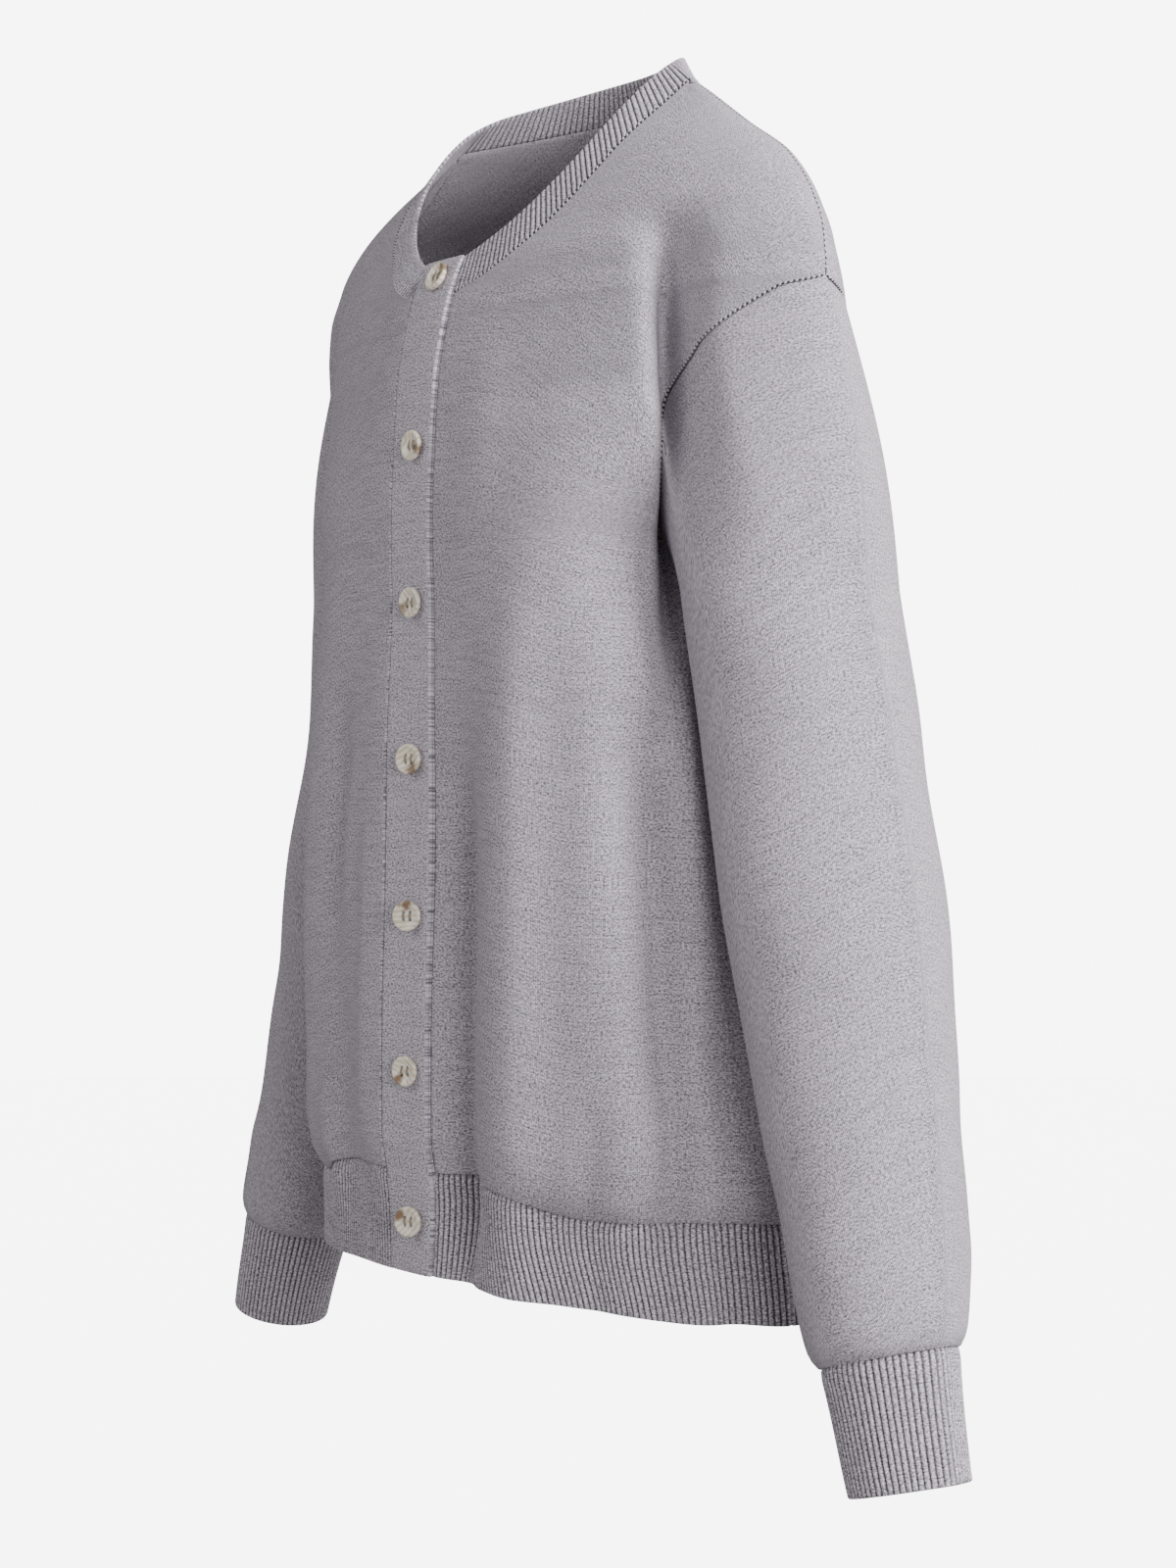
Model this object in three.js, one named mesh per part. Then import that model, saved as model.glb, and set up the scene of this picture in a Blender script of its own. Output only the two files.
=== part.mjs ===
// A buttoned jersey cardigan, filled out as it is when worn, with nothing inside it.
// Millimetres. +Z is up, the front faces -Y and the wearer's left is +X. The origin is midway
// between the two sides of the neck, where the garment sits on the shoulders.
import * as THREE from 'three';

// ---- driving dimensions ----
const WALL = 2.0;                 // thickness of the knitted cloth
const SEAM = 0.3;                 // gap between two pieces that are sewn edge to edge
const RIDGE_Y = -15;              // the plane of the shoulder and side seams
const NECK = { seamHalf: 106, edgeHalf: 92, edgeFront: 72, edgeBack: 50, y: -14, bandWidth: 19.5 };
const NECK_DROP = { seamSide: -14, seamFront: 98, edgeFront: 94, seamBackRise: 9, edgeBackRise: 13 };
const SHOULDER_TIP = -120;        // height where the shoulder seam meets the armhole
const UNDERARM = -240;            // height of the armhole's lowest point
const HEM_BOTTOM = -587;
const HEM_SIDE_DIP = 8;           // the hem hangs lower at the sides
const RIB_TOP = -537;             // where the hem rib is linked on, beside the bands
const BLOUSE_DROP = 13;           // the body hangs over the rib by this much away from the bands
const BAND_HALF = 17;             // half the width of the button and buttonhole bands
const OVERLAP_LIFT = 2.3;         // how far the upper front stands over the lower one
const LIFT_START = -70;           // the upper front rises from here to its band
const CUFF = { top: -597.9, bottom: -651 };
const BUTTON = { radius: 7.5, thick: 2.2, bevel: 0.5, holeRadius: 0.9, holeOffset: 1.7 };
const BUTTONS = [                 // heights, and degrees that each has turned to the wearer's left
  { z: -103, turn: 0 }, { z: -185, turn: 3 }, { z: -261, turn: 8 }, { z: -337, turn: 13 },
  { z: -413, turn: 18 }, { z: -488, turn: 9 }, { z: -561, turn: 20 },
];
const BUTTON_X = 4;
const BUTTON_SIDES = 20;
const HOLE_SIDES = 6;

// Level sections of the body: half width, depth in front of and behind the ridge plane, and
// how square the corners are in front and behind (2 is an ellipse, less is more pointed).
const BODY = [
  { z: -4, half: 94, front: 3, back: 56, frontSquare: 2.0, backSquare: 1.5 },
  { z: -14, half: 106, front: 8, back: 61, frontSquare: 2.1, backSquare: 1.45 },
  { z: -20, half: 116, front: 15, back: 66, frontSquare: 2.2, backSquare: 1.4 },
  { z: -42, half: 150, front: 37, back: 78, frontSquare: 2.3, backSquare: 1.35 },
  { z: -61, half: 180, front: 50, back: 85, frontSquare: 2.1, backSquare: 1.35 },
  { z: -83, half: 198, front: 63, back: 91, frontSquare: 1.9, backSquare: 1.35 },
  { z: -100, half: 205, front: 73, back: 95, frontSquare: 1.8, backSquare: 1.4 },
  { z: -120, half: 207, front: 80, back: 99, frontSquare: 1.7, backSquare: 1.5 },
  { z: -138, half: 205, front: 84, back: 102, frontSquare: 1.65, backSquare: 1.6 },
  { z: -150, half: 200, front: 86, back: 104, frontSquare: 1.7, backSquare: 1.7 },
  { z: -165, half: 185, front: 87, back: 106, frontSquare: 1.9, backSquare: 2.0 },
  { z: -190, half: 158, front: 88, back: 108, frontSquare: 2.7, backSquare: 2.7 },
  { z: -216, half: 137, front: 89, back: 109, frontSquare: 3.8, backSquare: 3.6 },
  { z: -240, half: 126, front: 89, back: 109, frontSquare: 4.5, backSquare: 4.2 },
  { z: -261, half: 130, front: 88, back: 108, frontSquare: 4.4, backSquare: 4.2 },
  { z: -308, half: 147, front: 88, back: 106, frontSquare: 4.0, backSquare: 4.0 },
  { z: -393, half: 157, front: 89, back: 104, frontSquare: 3.8, backSquare: 3.8 },
  { z: -477, half: 168, front: 91, back: 104, frontSquare: 3.0, backSquare: 3.0 },
  { z: -518, half: 178, front: 91, back: 105, frontSquare: 2.6, backSquare: 2.6 },
  { z: -537, half: 177, front: 89, back: 102, frontSquare: 2.3, backSquare: 2.3 },
  { z: -552, half: 178, front: 88, back: 101, frontSquare: 2.2, backSquare: 2.2 },
  { z: -600, half: 184, front: 89, back: 101, frontSquare: 2.0, backSquare: 2.0 },
];
// The armhole's edge, as degrees round the body from the ridge.
const ARMHOLE = [
  { z: -240, front: 0, back: 0 },
  { z: -216, front: 10, back: 10 },
  { z: -190, front: 23, back: 21 },
  { z: -165, front: 30, back: 26 },
  { z: -150, front: 31, back: 27 },
  { z: -126, front: 17, back: 15 },
  { z: -120, front: 0, back: 0 },
];
// The sleeve below the armhole: its centre line and radius.
const SLEEVE = [
  { z: -240, x: 171, y: -10, radius: 43 },
  { z: -261, x: 175, y: -10, radius: 50.6 },
  { z: -327, x: 188, y: -8, radius: 51 },
  { z: -393, x: 202, y: -8, radius: 50.8 },
  { z: -460, x: 218, y: -10, radius: 47.5 },
  { z: -521, x: 235, y: -13, radius: 43 },
  { z: -575, x: 251, y: -19, radius: 38.5 },
  { z: -591, x: 256, y: -21, radius: 35.5 },
  { z: -598, x: 258, y: -21.5, radius: 31.5 },
  { z: -651, x: 273, y: -23, radius: 27.5 },
  { z: -660, x: 275.6, y: -23, radius: 27 },
];
// The largest folds: where each runs from and to (degrees round the body from the wearer's
// left side, negative in front), how far it stands out or in, and its half width.
const FOLDS = [
  { fromAngle: -62, fromZ: -300, toAngle: -60, toZ: -575, rise: -9, width: 24 },
  { fromAngle: -106, fromZ: -240, toAngle: -106, toZ: -590, rise: 3, width: 22 },
  { fromAngle: -38, fromZ: -250, toAngle: -33, toZ: -590, rise: 5, width: 22 },
  { fromAngle: -17, fromZ: -300, toAngle: -15, toZ: -560, rise: -5, width: 20 },
  { fromAngle: -127, fromZ: -260, toAngle: -124, toZ: -540, rise: -4, width: 20 },
  { fromAngle: -146, fromZ: -280, toAngle: -148, toZ: -560, rise: 4, width: 22 },
  { fromAngle: 55, fromZ: -300, toAngle: 52, toZ: -560, rise: -4, width: 24 },
  { fromAngle: 90, fromZ: -330, toAngle: 94, toZ: -580, rise: 4, width: 28 },
  { fromAngle: 126, fromZ: -310, toAngle: 130, toZ: -560, rise: -4, width: 24 },
];
// The right sleeve hangs a little further back than the left one.
const RIGHT_SLEEVE = [
  { z: -150, back: 0 }, { z: -300, back: 9 }, { z: -400, back: 5 }, { z: -540, back: 3 },
  { z: -655, back: -2 },
];
const RIGHT_NECK = { narrow: 0.09, start: -80, full: -20, edgeHalf: 80, edgeFront: 66 };
const PRESS = { clear: 1.6, soft: 6, start: -237, full: -256 };
const CREASE = { rise: 2.5, halfAngle: 16 };   // pressed line down the outer sleeve
const SLEEVE_INSET = 0.6;          // the sleeve's face stands this much inside its radius
const CROWN = { swell: 4, inner: 0.4 };        // fullness of the sleeve head, less at its inside
const ARMHOLE_GAP = { x: 0.84, z: -0.54, size: 0.45 };   // way and width of the armhole seam
const DEPTH_WEIGHT = 1.6;          // how much more a fold moves the cloth forward than sideways

// Rows of the panels from the hem rib to the neck, and how many columns each piece has.
const BODY_LEVELS = [-537, -524, -505, -478, -446, -412, -378, -345, -315, -288, -265, -250];
const ARMHOLE_STEPS = 9;
const BAND_END_LEVELS = [-101, -92.5];   // the bands run on past the neckline's lowest row
const YOKE_LEVELS = [-110.4, -106, -98, -88, -76, -64, -52, -41, -31, -23.5, -17.5];
const COLUMNS = { front: 9, back: 16 };
const SLEEVE_FAN = [0, 0.14, 0.34, 0.56, 0.78, 1];
const SLEEVE_LEVELS = [
  -290, -322, -356, -390, -424, -456, -486, -514, -540, -562, -579, -591, -597.5,
];
const HEM_STEPS = 2;
const CUFF_STEPS = 2;

// ---- small tools ----
const radians = THREE.MathUtils.degToRad;
const vec = (x, y, z) => new THREE.Vector3(x, y, z);
const mix = (a, b, t) => a + (b - a) * t;
const smooth = (low, high, value) => THREE.MathUtils.smoothstep(value, low, high);

// A column of a table at any height, by a smooth curve through its rows.
function along(table, column, z) {
  const rows = table[0].z > table[table.length - 1].z ? [...table].reverse() : table;
  const last = rows.length - 1;
  if (z <= rows[0].z) return rows[0][column];
  if (z >= rows[last].z) return rows[last][column];
  let k = 0;
  while (rows[k + 1].z < z) k += 1;
  const slope = (i) => {
    if (i === 0 || i === last) return 0;
    const below = (rows[i][column] - rows[i - 1][column]) / (rows[i].z - rows[i - 1].z);
    const above = (rows[i + 1][column] - rows[i][column]) / (rows[i + 1].z - rows[i].z);
    return below * above <= 0 ? 0 : 2 * below * above / (below + above);
  };
  const span = rows[k + 1].z - rows[k].z;
  const t = (z - rows[k].z) / span;
  const t2 = t * t;
  const t3 = t2 * t;
  return (2 * t3 - 3 * t2 + 1) * rows[k][column] + (t3 - 2 * t2 + t) * span * slope(k)
    + (3 * t2 - 2 * t3) * rows[k + 1][column] + (t3 - t2) * span * slope(k + 1);
}

const rightSleeveBack = (z) => along(RIGHT_SLEEVE, 'back', z);

// ---- the form of the body ----
// The body yields where a sleeve rests against its side.
function pressed(x, y, z) {
  const reach = 1 - smooth(PRESS.full, PRESS.start, z);
  if (reach === 0) return x;
  const radius = along(SLEEVE, 'radius', z) + PRESS.clear;
  const offset = y - along(SLEEVE, 'y', z) - (x < 0 ? rightSleeveBack(z) : 0);
  if (Math.abs(offset) >= radius) return x;
  const limit = along(SLEEVE, 'x', z) - Math.sqrt(radius * radius - offset * offset);
  const over = Math.abs(x) - limit;
  return Math.sign(x) * (Math.abs(x) - reach * (over + Math.hypot(over, PRESS.soft)) / 2);
}

function foldRise(x, y, z) {
  const around = THREE.MathUtils.radToDeg(Math.atan2(y - RIDGE_Y, x));
  const reach = radians(Math.hypot(x, y - RIDGE_Y));
  let rise = 0;
  for (const fold of FOLDS) {
    const t = (z - fold.fromZ) / (fold.toZ - fold.fromZ);
    if (t <= 0 || t >= 1) continue;
    const away = (around - mix(fold.fromAngle, fold.toAngle, t)) * reach / fold.width;
    rise += fold.rise * Math.exp(-away * away) * Math.sin(Math.PI * Math.sqrt(t)) ** 0.7;
  }
  return rise;
}

// A point of the body's outer face. The angle is 0 at the wearer's left side, -90 at the
// centre front, 90 at the centre back and 180 or -180 at the right side.
function bodyPoint(z, angle, lift = 0) {
  const c = Math.cos(radians(angle));
  const s = Math.sin(radians(angle));
  const power = 2 / along(BODY, s < 0 ? 'frontSquare' : 'backSquare', z);
  const depth = along(BODY, s < 0 ? 'front' : 'back', z);
  const side = c < 0 ? 1 - RIGHT_NECK.narrow * smooth(RIGHT_NECK.start, RIGHT_NECK.full, z) : 1;
  const x = side * along(BODY, 'half', z) * Math.sign(c) * Math.abs(c) ** power;
  const y = RIDGE_Y + depth * Math.sign(s) * Math.abs(s) ** power;
  const out = foldRise(x, y, z) + lift * smooth(LIFT_START, -BAND_HALF, x);
  const flat = Math.hypot(x, (y - RIDGE_Y) * DEPTH_WEIGHT);
  const px = x + out * x / flat;
  const py = y + out * (y - RIDGE_Y) * DEPTH_WEIGHT / flat;
  return vec(pressed(px, py, z), py, z);
}

function bodyNormal(z, angle) {
  const around = bodyPoint(z, angle + 3).sub(bodyPoint(z, angle - 3));
  const up = bodyPoint(z + 1.5, angle).sub(bodyPoint(z, angle));
  return around.cross(up).normalize();
}

// The angle at which the front has a given distance from the centre.
function frontAngle(z, x) {
  const share = Math.min(1, Math.abs(x) / along(BODY, 'half', z));
  const angle = THREE.MathUtils.radToDeg(Math.acos(share ** (along(BODY, 'frontSquare', z) / 2)));
  return x > 0 ? -angle : angle - 180;
}

const neckHalfWidth = (z) => {
  const t = Math.min(1, Math.max(0, (NECK_DROP.seamSide - z) / NECK_DROP.seamFront));
  return NECK.seamHalf * Math.sqrt(Math.max(0, 1 - t ** 1.6));
};
const backNeckHeight = (angle) =>
  NECK_DROP.seamSide + NECK_DROP.seamBackRise * Math.sin(radians(angle)) ** 1.2;
const hemBottom = (angle) => HEM_BOTTOM - HEM_SIDE_DIP * Math.cos(radians(angle)) ** 2;
const ribTop = (angle) => {
  const fromFront = Math.abs(((angle + 90 + 540) % 360) - 180);
  return RIB_TOP - BLOUSE_DROP * smooth(14, 40, fromFront);
};

// ---- closed cloth from a grid of outer points and normals ----
// rows[i][j] is { p, n }. The wall lies inside the outer face. A round piece joins its last
// column to its first.
function cloth(rows, round = false, wall = WALL) {
  const count = rows.length;
  const wide = rows[0].length;
  const points = [];
  for (const depth of [0, wall]) {
    for (const row of rows) {
      for (const { p, n } of row) points.push(p.x - n.x * depth, p.y - n.y * depth, p.z - n.z * depth);
    }
  }
  const at = (i, j, inner) => inner * count * wide + i * wide + (j % wide);
  const faces = [];
  const apart = (a, b) => Math.hypot(...[0, 1, 2].map((k) => points[3 * a + k] - points[3 * b + k]));
  const quad = (a, b, c, d) => {
    if (apart(a, c) <= apart(b, d)) faces.push(a, b, c, a, c, d);
    else faces.push(a, b, d, b, c, d);
  };
  const spans = round ? wide : wide - 1;
  for (let i = 0; i < count - 1; i += 1) {
    for (let j = 0; j < spans; j += 1) {
      quad(at(i, j, 0), at(i, j + 1, 0), at(i + 1, j + 1, 0), at(i + 1, j, 0));
      quad(at(i, j, 1), at(i + 1, j, 1), at(i + 1, j + 1, 1), at(i, j + 1, 1));
    }
  }
  for (let j = 0; j < spans; j += 1) {
    quad(at(0, j, 1), at(0, j + 1, 1), at(0, j + 1, 0), at(0, j, 0));
    quad(at(count - 1, j, 0), at(count - 1, j + 1, 0), at(count - 1, j + 1, 1), at(count - 1, j, 1));
  }
  for (let i = 0; i < count - 1 && !round; i += 1) {
    quad(at(i, 0, 0), at(i + 1, 0, 0), at(i + 1, 0, 1), at(i, 0, 1));
    quad(at(i, wide - 1, 1), at(i + 1, wide - 1, 1), at(i + 1, wide - 1, 0), at(i, wide - 1, 0));
  }
  const geometry = new THREE.BufferGeometry();
  geometry.setAttribute('position', new THREE.Float32BufferAttribute(points, 3));
  geometry.setIndex(faces);
  geometry.computeVertexNormals();
  return geometry;
}

// Draw the chosen edges of a grid in by half a seam, so that neighbours stay apart.
function drawIn(rows, edges) {
  const step = (from, to) => from.p.clone().add(to.p.clone().sub(from.p).setLength(SEAM / 2));
  const top = rows.length - 1;
  const right = rows[0].length - 1;
  const moved = rows.map((row) => row.map(({ p, n }) => ({ p: p.clone(), n })));
  const shift = (i, j, ti, tj) => {
    moved[i][j].p.add(step(rows[i][j], rows[ti][tj])).sub(rows[i][j].p);
  };
  for (let i = 0; i <= top; i += 1) {
    if (edges.includes('left')) shift(i, 0, i, 1);
    if (edges.includes('right')) shift(i, right, i, right - 1);
  }
  for (let j = 0; j <= right; j += 1) {
    if (edges.includes('bottom')) shift(0, j, 1, j);
    if (edges.includes('top')) shift(top, j, top - 1, j);
  }
  return moved;
}

// Turn the face order round if a grid was laid from the wearer's right to left.
const flipped = (rows) => rows.map((row) => [...row].reverse());

// ---- panels of the body ----
const armholeLevels = Array.from({ length: ARMHOLE_STEPS + 1 }, (_, k) =>
  mix(UNDERARM, SHOULDER_TIP, (k / ARMHOLE_STEPS + (1 - Math.cos(Math.PI * k / ARMHOLE_STEPS)) / 2) / 2));
const levels = [...BODY_LEVELS, ...armholeLevels, ...YOKE_LEVELS];
const FLOW_START = -478;          // below this the rows bend to follow the top of the rib

function levelAt(level, angle) {
  if (level >= FLOW_START) return level;
  return FLOW_START + (level - FLOW_START) * (ribTop(angle) - FLOW_START) / (RIB_TOP - FLOW_START);
}

function armholeAngle(level, side) {
  return level > UNDERARM && level < SHOULDER_TIP ? along(ARMHOLE, side, level) : 0;
}

// Even steps of a row along the cloth, as angles.
function evenAngles(level, from, to, columns, heightOf = levelAt) {
  const fine = 80;
  const lengths = [0];
  let before = bodyPoint(heightOf(level, from), from);
  for (let k = 1; k <= fine; k += 1) {
    const angle = mix(from, to, k / fine);
    const point = bodyPoint(heightOf(level, angle), angle);
    lengths.push(lengths[k - 1] + point.distanceTo(before));
    before = point;
  }
  const angles = [];
  let k = 0;
  for (let j = 0; j <= columns; j += 1) {
    const target = lengths[fine] * j / columns;
    while (k < fine - 1 && lengths[k + 1] < target) k += 1;
    const part = (target - lengths[k]) / (lengths[k + 1] - lengths[k]);
    angles.push(mix(from, to, (k + part) / fine));
  }
  return angles;
}

const spot = (z, angle, lift = 0) => ({ p: bodyPoint(z, angle, lift), n: bodyNormal(z, angle), angle });

function frontPanel(side) {
  const lift = side < 0 ? OVERLAP_LIFT : 0;
  return levels.map((level) => {
    const inner = Math.max(BAND_HALF, neckHalfWidth(level));
    const from = frontAngle(level, inner);
    const to = -armholeAngle(level, 'front');
    const angles = evenAngles(level, from, to, COLUMNS.front);
    return angles.map((angle) => spot(levelAt(level, angle), side > 0 ? angle : -180 - angle, lift));
  });
}

function backPanel() {
  return [...levels, NECK_DROP.seamSide].map((level, i) => {
    const edge = armholeAngle(level, 'back');
    const top = i === levels.length;
    const height = top ? (_, angle) => backNeckHeight(angle) : levelAt;
    const angles = evenAngles(level, edge, 180 - edge, COLUMNS.back, height);
    return angles.map((angle) => spot(height(level, angle), angle));
  });
}

const leftFront = frontPanel(1);
const rightFront = frontPanel(-1);
const back = backPanel();

// ---- rib at the hem ----
const ribHeight = (share, angle) => mix(hemBottom(angle), ribTop(angle), share);
function hemRib(columns, side) {
  return Array.from({ length: HEM_STEPS + 1 }, (_, k) => {
    const share = k / HEM_STEPS;
    const from = side === 0 ? 0 : frontAngle(ribHeight(share, -90), BAND_HALF);
    const angles = evenAngles(share, from, side === 0 ? 180 : 0, columns, ribHeight);
    const lift = side < 0 ? OVERLAP_LIFT : 0;
    return angles.map((angle) => spot(ribHeight(share, angle), side < 0 ? -180 - angle : angle, lift));
  });
}
const hemLeft = hemRib(COLUMNS.front, 1);
const hemRight = hemRib(COLUMNS.front, -1);
const hemBack = hemRib(COLUMNS.back, 0);

// ---- button and buttonhole bands ----
const bandLevels = [
  ...hemLeft.slice(0, HEM_STEPS).map((row) => row[0].p.z),
  ...levels.filter((level) => level <= YOKE_LEVELS[0]), ...BAND_END_LEVELS,
];
function band(lift) {
  return bandLevels.map((z) => [-BAND_HALF, 0, BAND_HALF].map((x) => {
    const angle = x === 0 ? -90 : frontAngle(z, x);
    const { n } = spot(z, angle);
    return { p: bodyPoint(z, angle).addScaledVector(n, lift), n };
  }));
}

// ---- neckband ----
// Its lower edge follows the neckline, and it leans in towards the neck.
function neckEdgeTarget(p) {
  const right = p.x < 0;
  const seamHalf = NECK.seamHalf * (right ? 1 - RIGHT_NECK.narrow : 1);
  const edgeHalf = right ? RIGHT_NECK.edgeHalf : NECK.edgeHalf;
  const edgeFront = right ? RIGHT_NECK.edgeFront : NECK.edgeFront;
  const c = Math.max(-1, Math.min(1, p.x / seamHalf));
  const s = Math.sqrt(1 - c * c);
  if (p.y < NECK.y) {
    const share = (Math.abs(p.x) - BAND_HALF) / (seamHalf - BAND_HALF);
    const x = Math.sign(p.x) * mix(BAND_HALF, edgeHalf, share);
    return vec(x, NECK.y - edgeFront * s, -NECK_DROP.edgeFront * s ** 1.45);
  }
  const behind = (1 - Math.abs(c) ** 1.5) ** (2 / 3);
  return vec(edgeHalf * c, NECK.y + NECK.edgeBack * behind, NECK_DROP.edgeBackRise * s ** 1.5);
}
function neckband() {
  const corner = levels.indexOf(YOKE_LEVELS[0]);
  const leftEdge = leftFront.slice(corner).map((row) => row[0]);
  const rightEdge = rightFront.slice(corner).map((row) => row[0]).reverse();
  const topRow = back[back.length - 1];
  const seam = [...leftEdge, ...topRow, ...rightEdge];
  const lean = seam.map(({ p }) => neckEdgeTarget(p).sub(p).normalize());
  const edge = seam.map(({ p, n }, j) => {
    const next = seam[Math.min(j + 1, seam.length - 1)].p;
    const before = seam[Math.max(j - 1, 0)].p;
    const normal = next.clone().sub(before).cross(lean[j]).normalize();
    if (normal.dot(n) < 0) normal.negate();
    return { p: p.clone().addScaledVector(lean[j], NECK.bandWidth), n: normal };
  });
  const foot = seam.map(({ p, n }, j) => ({ p: p.clone().addScaledVector(lean[j], SEAM), n }));
  return [foot, edge];
}

// ---- sleeves ----
function armholeLoop() {
  const start = BODY_LEVELS.length;
  const rows = Array.from({ length: ARMHOLE_STEPS + 1 }, (_, k) => start + k);
  const front = [...rows].reverse().map((i) => leftFront[i][COLUMNS.front].p);
  const behind = rows.slice(1, -1).map((i) => back[i][0].p);
  return [...front, ...behind];
}
// Degrees round the sleeve for each point of the loop: 0 outside, 90 in front, 180 inside.
function loopTurns(loop) {
  const steps = loop.map((p, j) => p.distanceTo(loop[(j + 1) % loop.length]));
  const half = ARMHOLE_STEPS;
  const total = (from, to) => steps.slice(from, to).reduce((sum, step) => sum + step, 0);
  return loop.map((_, j) => (j <= half
    ? 180 * total(0, j) / total(0, half)
    : 180 + 180 * total(half, j) / total(half, loop.length)));
}
function sleeveRing(z, turns) {
  const center = vec(along(SLEEVE, 'x', z), along(SLEEVE, 'y', z), z);
  const radius = along(SLEEVE, 'radius', z);
  const run = along(SLEEVE, 'x', z - 12) - along(SLEEVE, 'x', z + 12);
  const tilt = Math.atan2(run, 24) * smooth(-261, -420, z);
  return turns.map((turn) => {
    const off = Math.min(turn, 360 - turn) / CREASE.halfAngle;
    const r = radius + CREASE.rise * Math.exp(-off * off) - SLEEVE_INSET;
    const c = Math.cos(radians(turn)) * r;
    return vec(center.x + c * Math.cos(tilt), center.y - Math.sin(radians(turn)) * r,
      center.z + c * Math.sin(tilt));
  });
}
function gridNormals(points) {
  const wide = points[0].length;
  return points.map((row, i) => row.map((p, j) => {
    const around = row[(j + 1) % wide].clone().sub(row[(j + wide - 1) % wide]);
    const up = points[Math.min(i + 1, points.length - 1)][j].clone().sub(points[Math.max(i - 1, 0)][j]);
    return { p, n: around.cross(up).normalize() };
  }));
}
function leftSleeve() {
  const loop = armholeLoop();
  const turns = loopTurns(loop);
  const first = sleeveRing(-261, turns);
  const away = vec(ARMHOLE_GAP.x, 0, ARMHOLE_GAP.z).multiplyScalar(ARMHOLE_GAP.size);
  const fan = SLEEVE_FAN.map((s) => loop.map((p, j) => {
    const swell = Math.sin(Math.PI * s) * CROWN.swell;
    const out = vec(Math.cos(radians(turns[j])), -Math.sin(radians(turns[j])), 0);
    return p.clone().lerp(first[j], s).addScaledVector(out, swell * Math.max(0, out.x + CROWN.inner))
      .addScaledVector(away, 1 - s);
  }));
  const lower = SLEEVE_LEVELS.map((z) => sleeveRing(z, turns));
  return { rows: gridNormals([...fan, ...lower]), turns };
}
function leftCuff(turns) {
  return gridNormals(Array.from({ length: CUFF_STEPS + 1 }, (_, k) =>
    sleeveRing(mix(CUFF.top, CUFF.bottom, k / CUFF_STEPS), turns)));
}
const mirror = (rows) => rows.map((row) => row.map(({ p, n }) =>
  ({ p: vec(-p.x, p.y + rightSleeveBack(p.z), p.z), n: vec(-n.x, n.y, n.z) })));

// ---- buttons ----
function buttonGeometry() {
  const shape = new THREE.Shape();
  const ring = (path, x, y, radius, count) => {
    for (let k = 0; k <= count; k += 1) {
      const angle = 2 * Math.PI * k / count;
      path[k === 0 ? 'moveTo' : 'lineTo'](x + radius * Math.cos(angle), y + radius * Math.sin(angle));
    }
    return path;
  };
  ring(shape, 0, 0, BUTTON.radius - BUTTON.bevel, BUTTON_SIDES);
  const cut = BUTTON.holeRadius + BUTTON.bevel;
  for (const [x, y] of [[1, 1], [-1, 1], [-1, -1], [1, -1]]) {
    const hole = new THREE.Path();
    ring(hole, x * BUTTON.holeOffset, y * BUTTON.holeOffset, cut, HOLE_SIDES);
    shape.holes.push(hole);
  }
  return new THREE.ExtrudeGeometry(shape, {
    depth: BUTTON.thick, bevelEnabled: true, bevelThickness: BUTTON.bevel,
    bevelSize: BUTTON.bevel, bevelSegments: 1, steps: 1, curveSegments: 1,
  });
}

// ---- materials ----
const finish = (color, roughness) =>
  new THREE.MeshStandardMaterial({ color, roughness, metalness: 0, side: THREE.DoubleSide });
const jersey = finish(0xa9a4ab, 0.95);
const rib = finish(0xa09ba2, 0.95);
const bandKnit = finish(0xaea9b0, 0.95);
const horn = finish(0xe6dccb, 0.35);

// ---- the cardigan ----
const cardigan = new THREE.Group();
function add(name, geometry, material) {
  const mesh = new THREE.Mesh(geometry, material);
  mesh.name = name;
  cardigan.add(mesh);
  return mesh;
}

add('back', cloth(drawIn(back, ['left', 'right', 'bottom', 'top'])), jersey);
add('left_front', cloth(drawIn(leftFront, ['left', 'right', 'bottom'])), jersey);
add('right_front', cloth(flipped(drawIn(rightFront, ['left', 'right', 'bottom']))), jersey);
add('hem_rib_back', cloth(drawIn(hemBack, ['left', 'right', 'top'])), rib);
add('hem_rib_left', cloth(drawIn(hemLeft, ['left', 'right', 'top'])), rib);
add('hem_rib_right', cloth(flipped(drawIn(hemRight, ['left', 'right', 'top']))), rib);
add('button_band', cloth(drawIn(band(0), ['left', 'right'])), bandKnit);
add('buttonhole_band', cloth(drawIn(band(OVERLAP_LIFT), ['left', 'right'])), bandKnit);
add('neckband', cloth(drawIn(neckband(), ['left', 'right'])), rib);

const { rows: sleeveRows, turns } = leftSleeve();
const cuffRows = leftCuff(turns);
add('left_sleeve', cloth(sleeveRows, true), jersey);
add('right_sleeve', cloth(flipped(mirror(sleeveRows)), true), jersey);
add('left_cuff', cloth(cuffRows, true), rib);
add('right_cuff', cloth(flipped(mirror(cuffRows)), true), rib);

BUTTONS.forEach(({ z, turn }, k) => {
  const { p, n } = spot(z, frontAngle(z, BUTTON_X));
  const raised = BUTTON.radius * Math.sin(radians(turn));
  const button = add(`button_${k + 1}`, buttonGeometry(), horn);
  button.position.copy(p.addScaledVector(n, OVERLAP_LIFT + SEAM + BUTTON.bevel + raised));
  button.quaternion.setFromUnitVectors(vec(0, 0, 1), n.applyAxisAngle(vec(0, 0, 1), radians(turn)));
});

export default cardigan;
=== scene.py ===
import math

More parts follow.
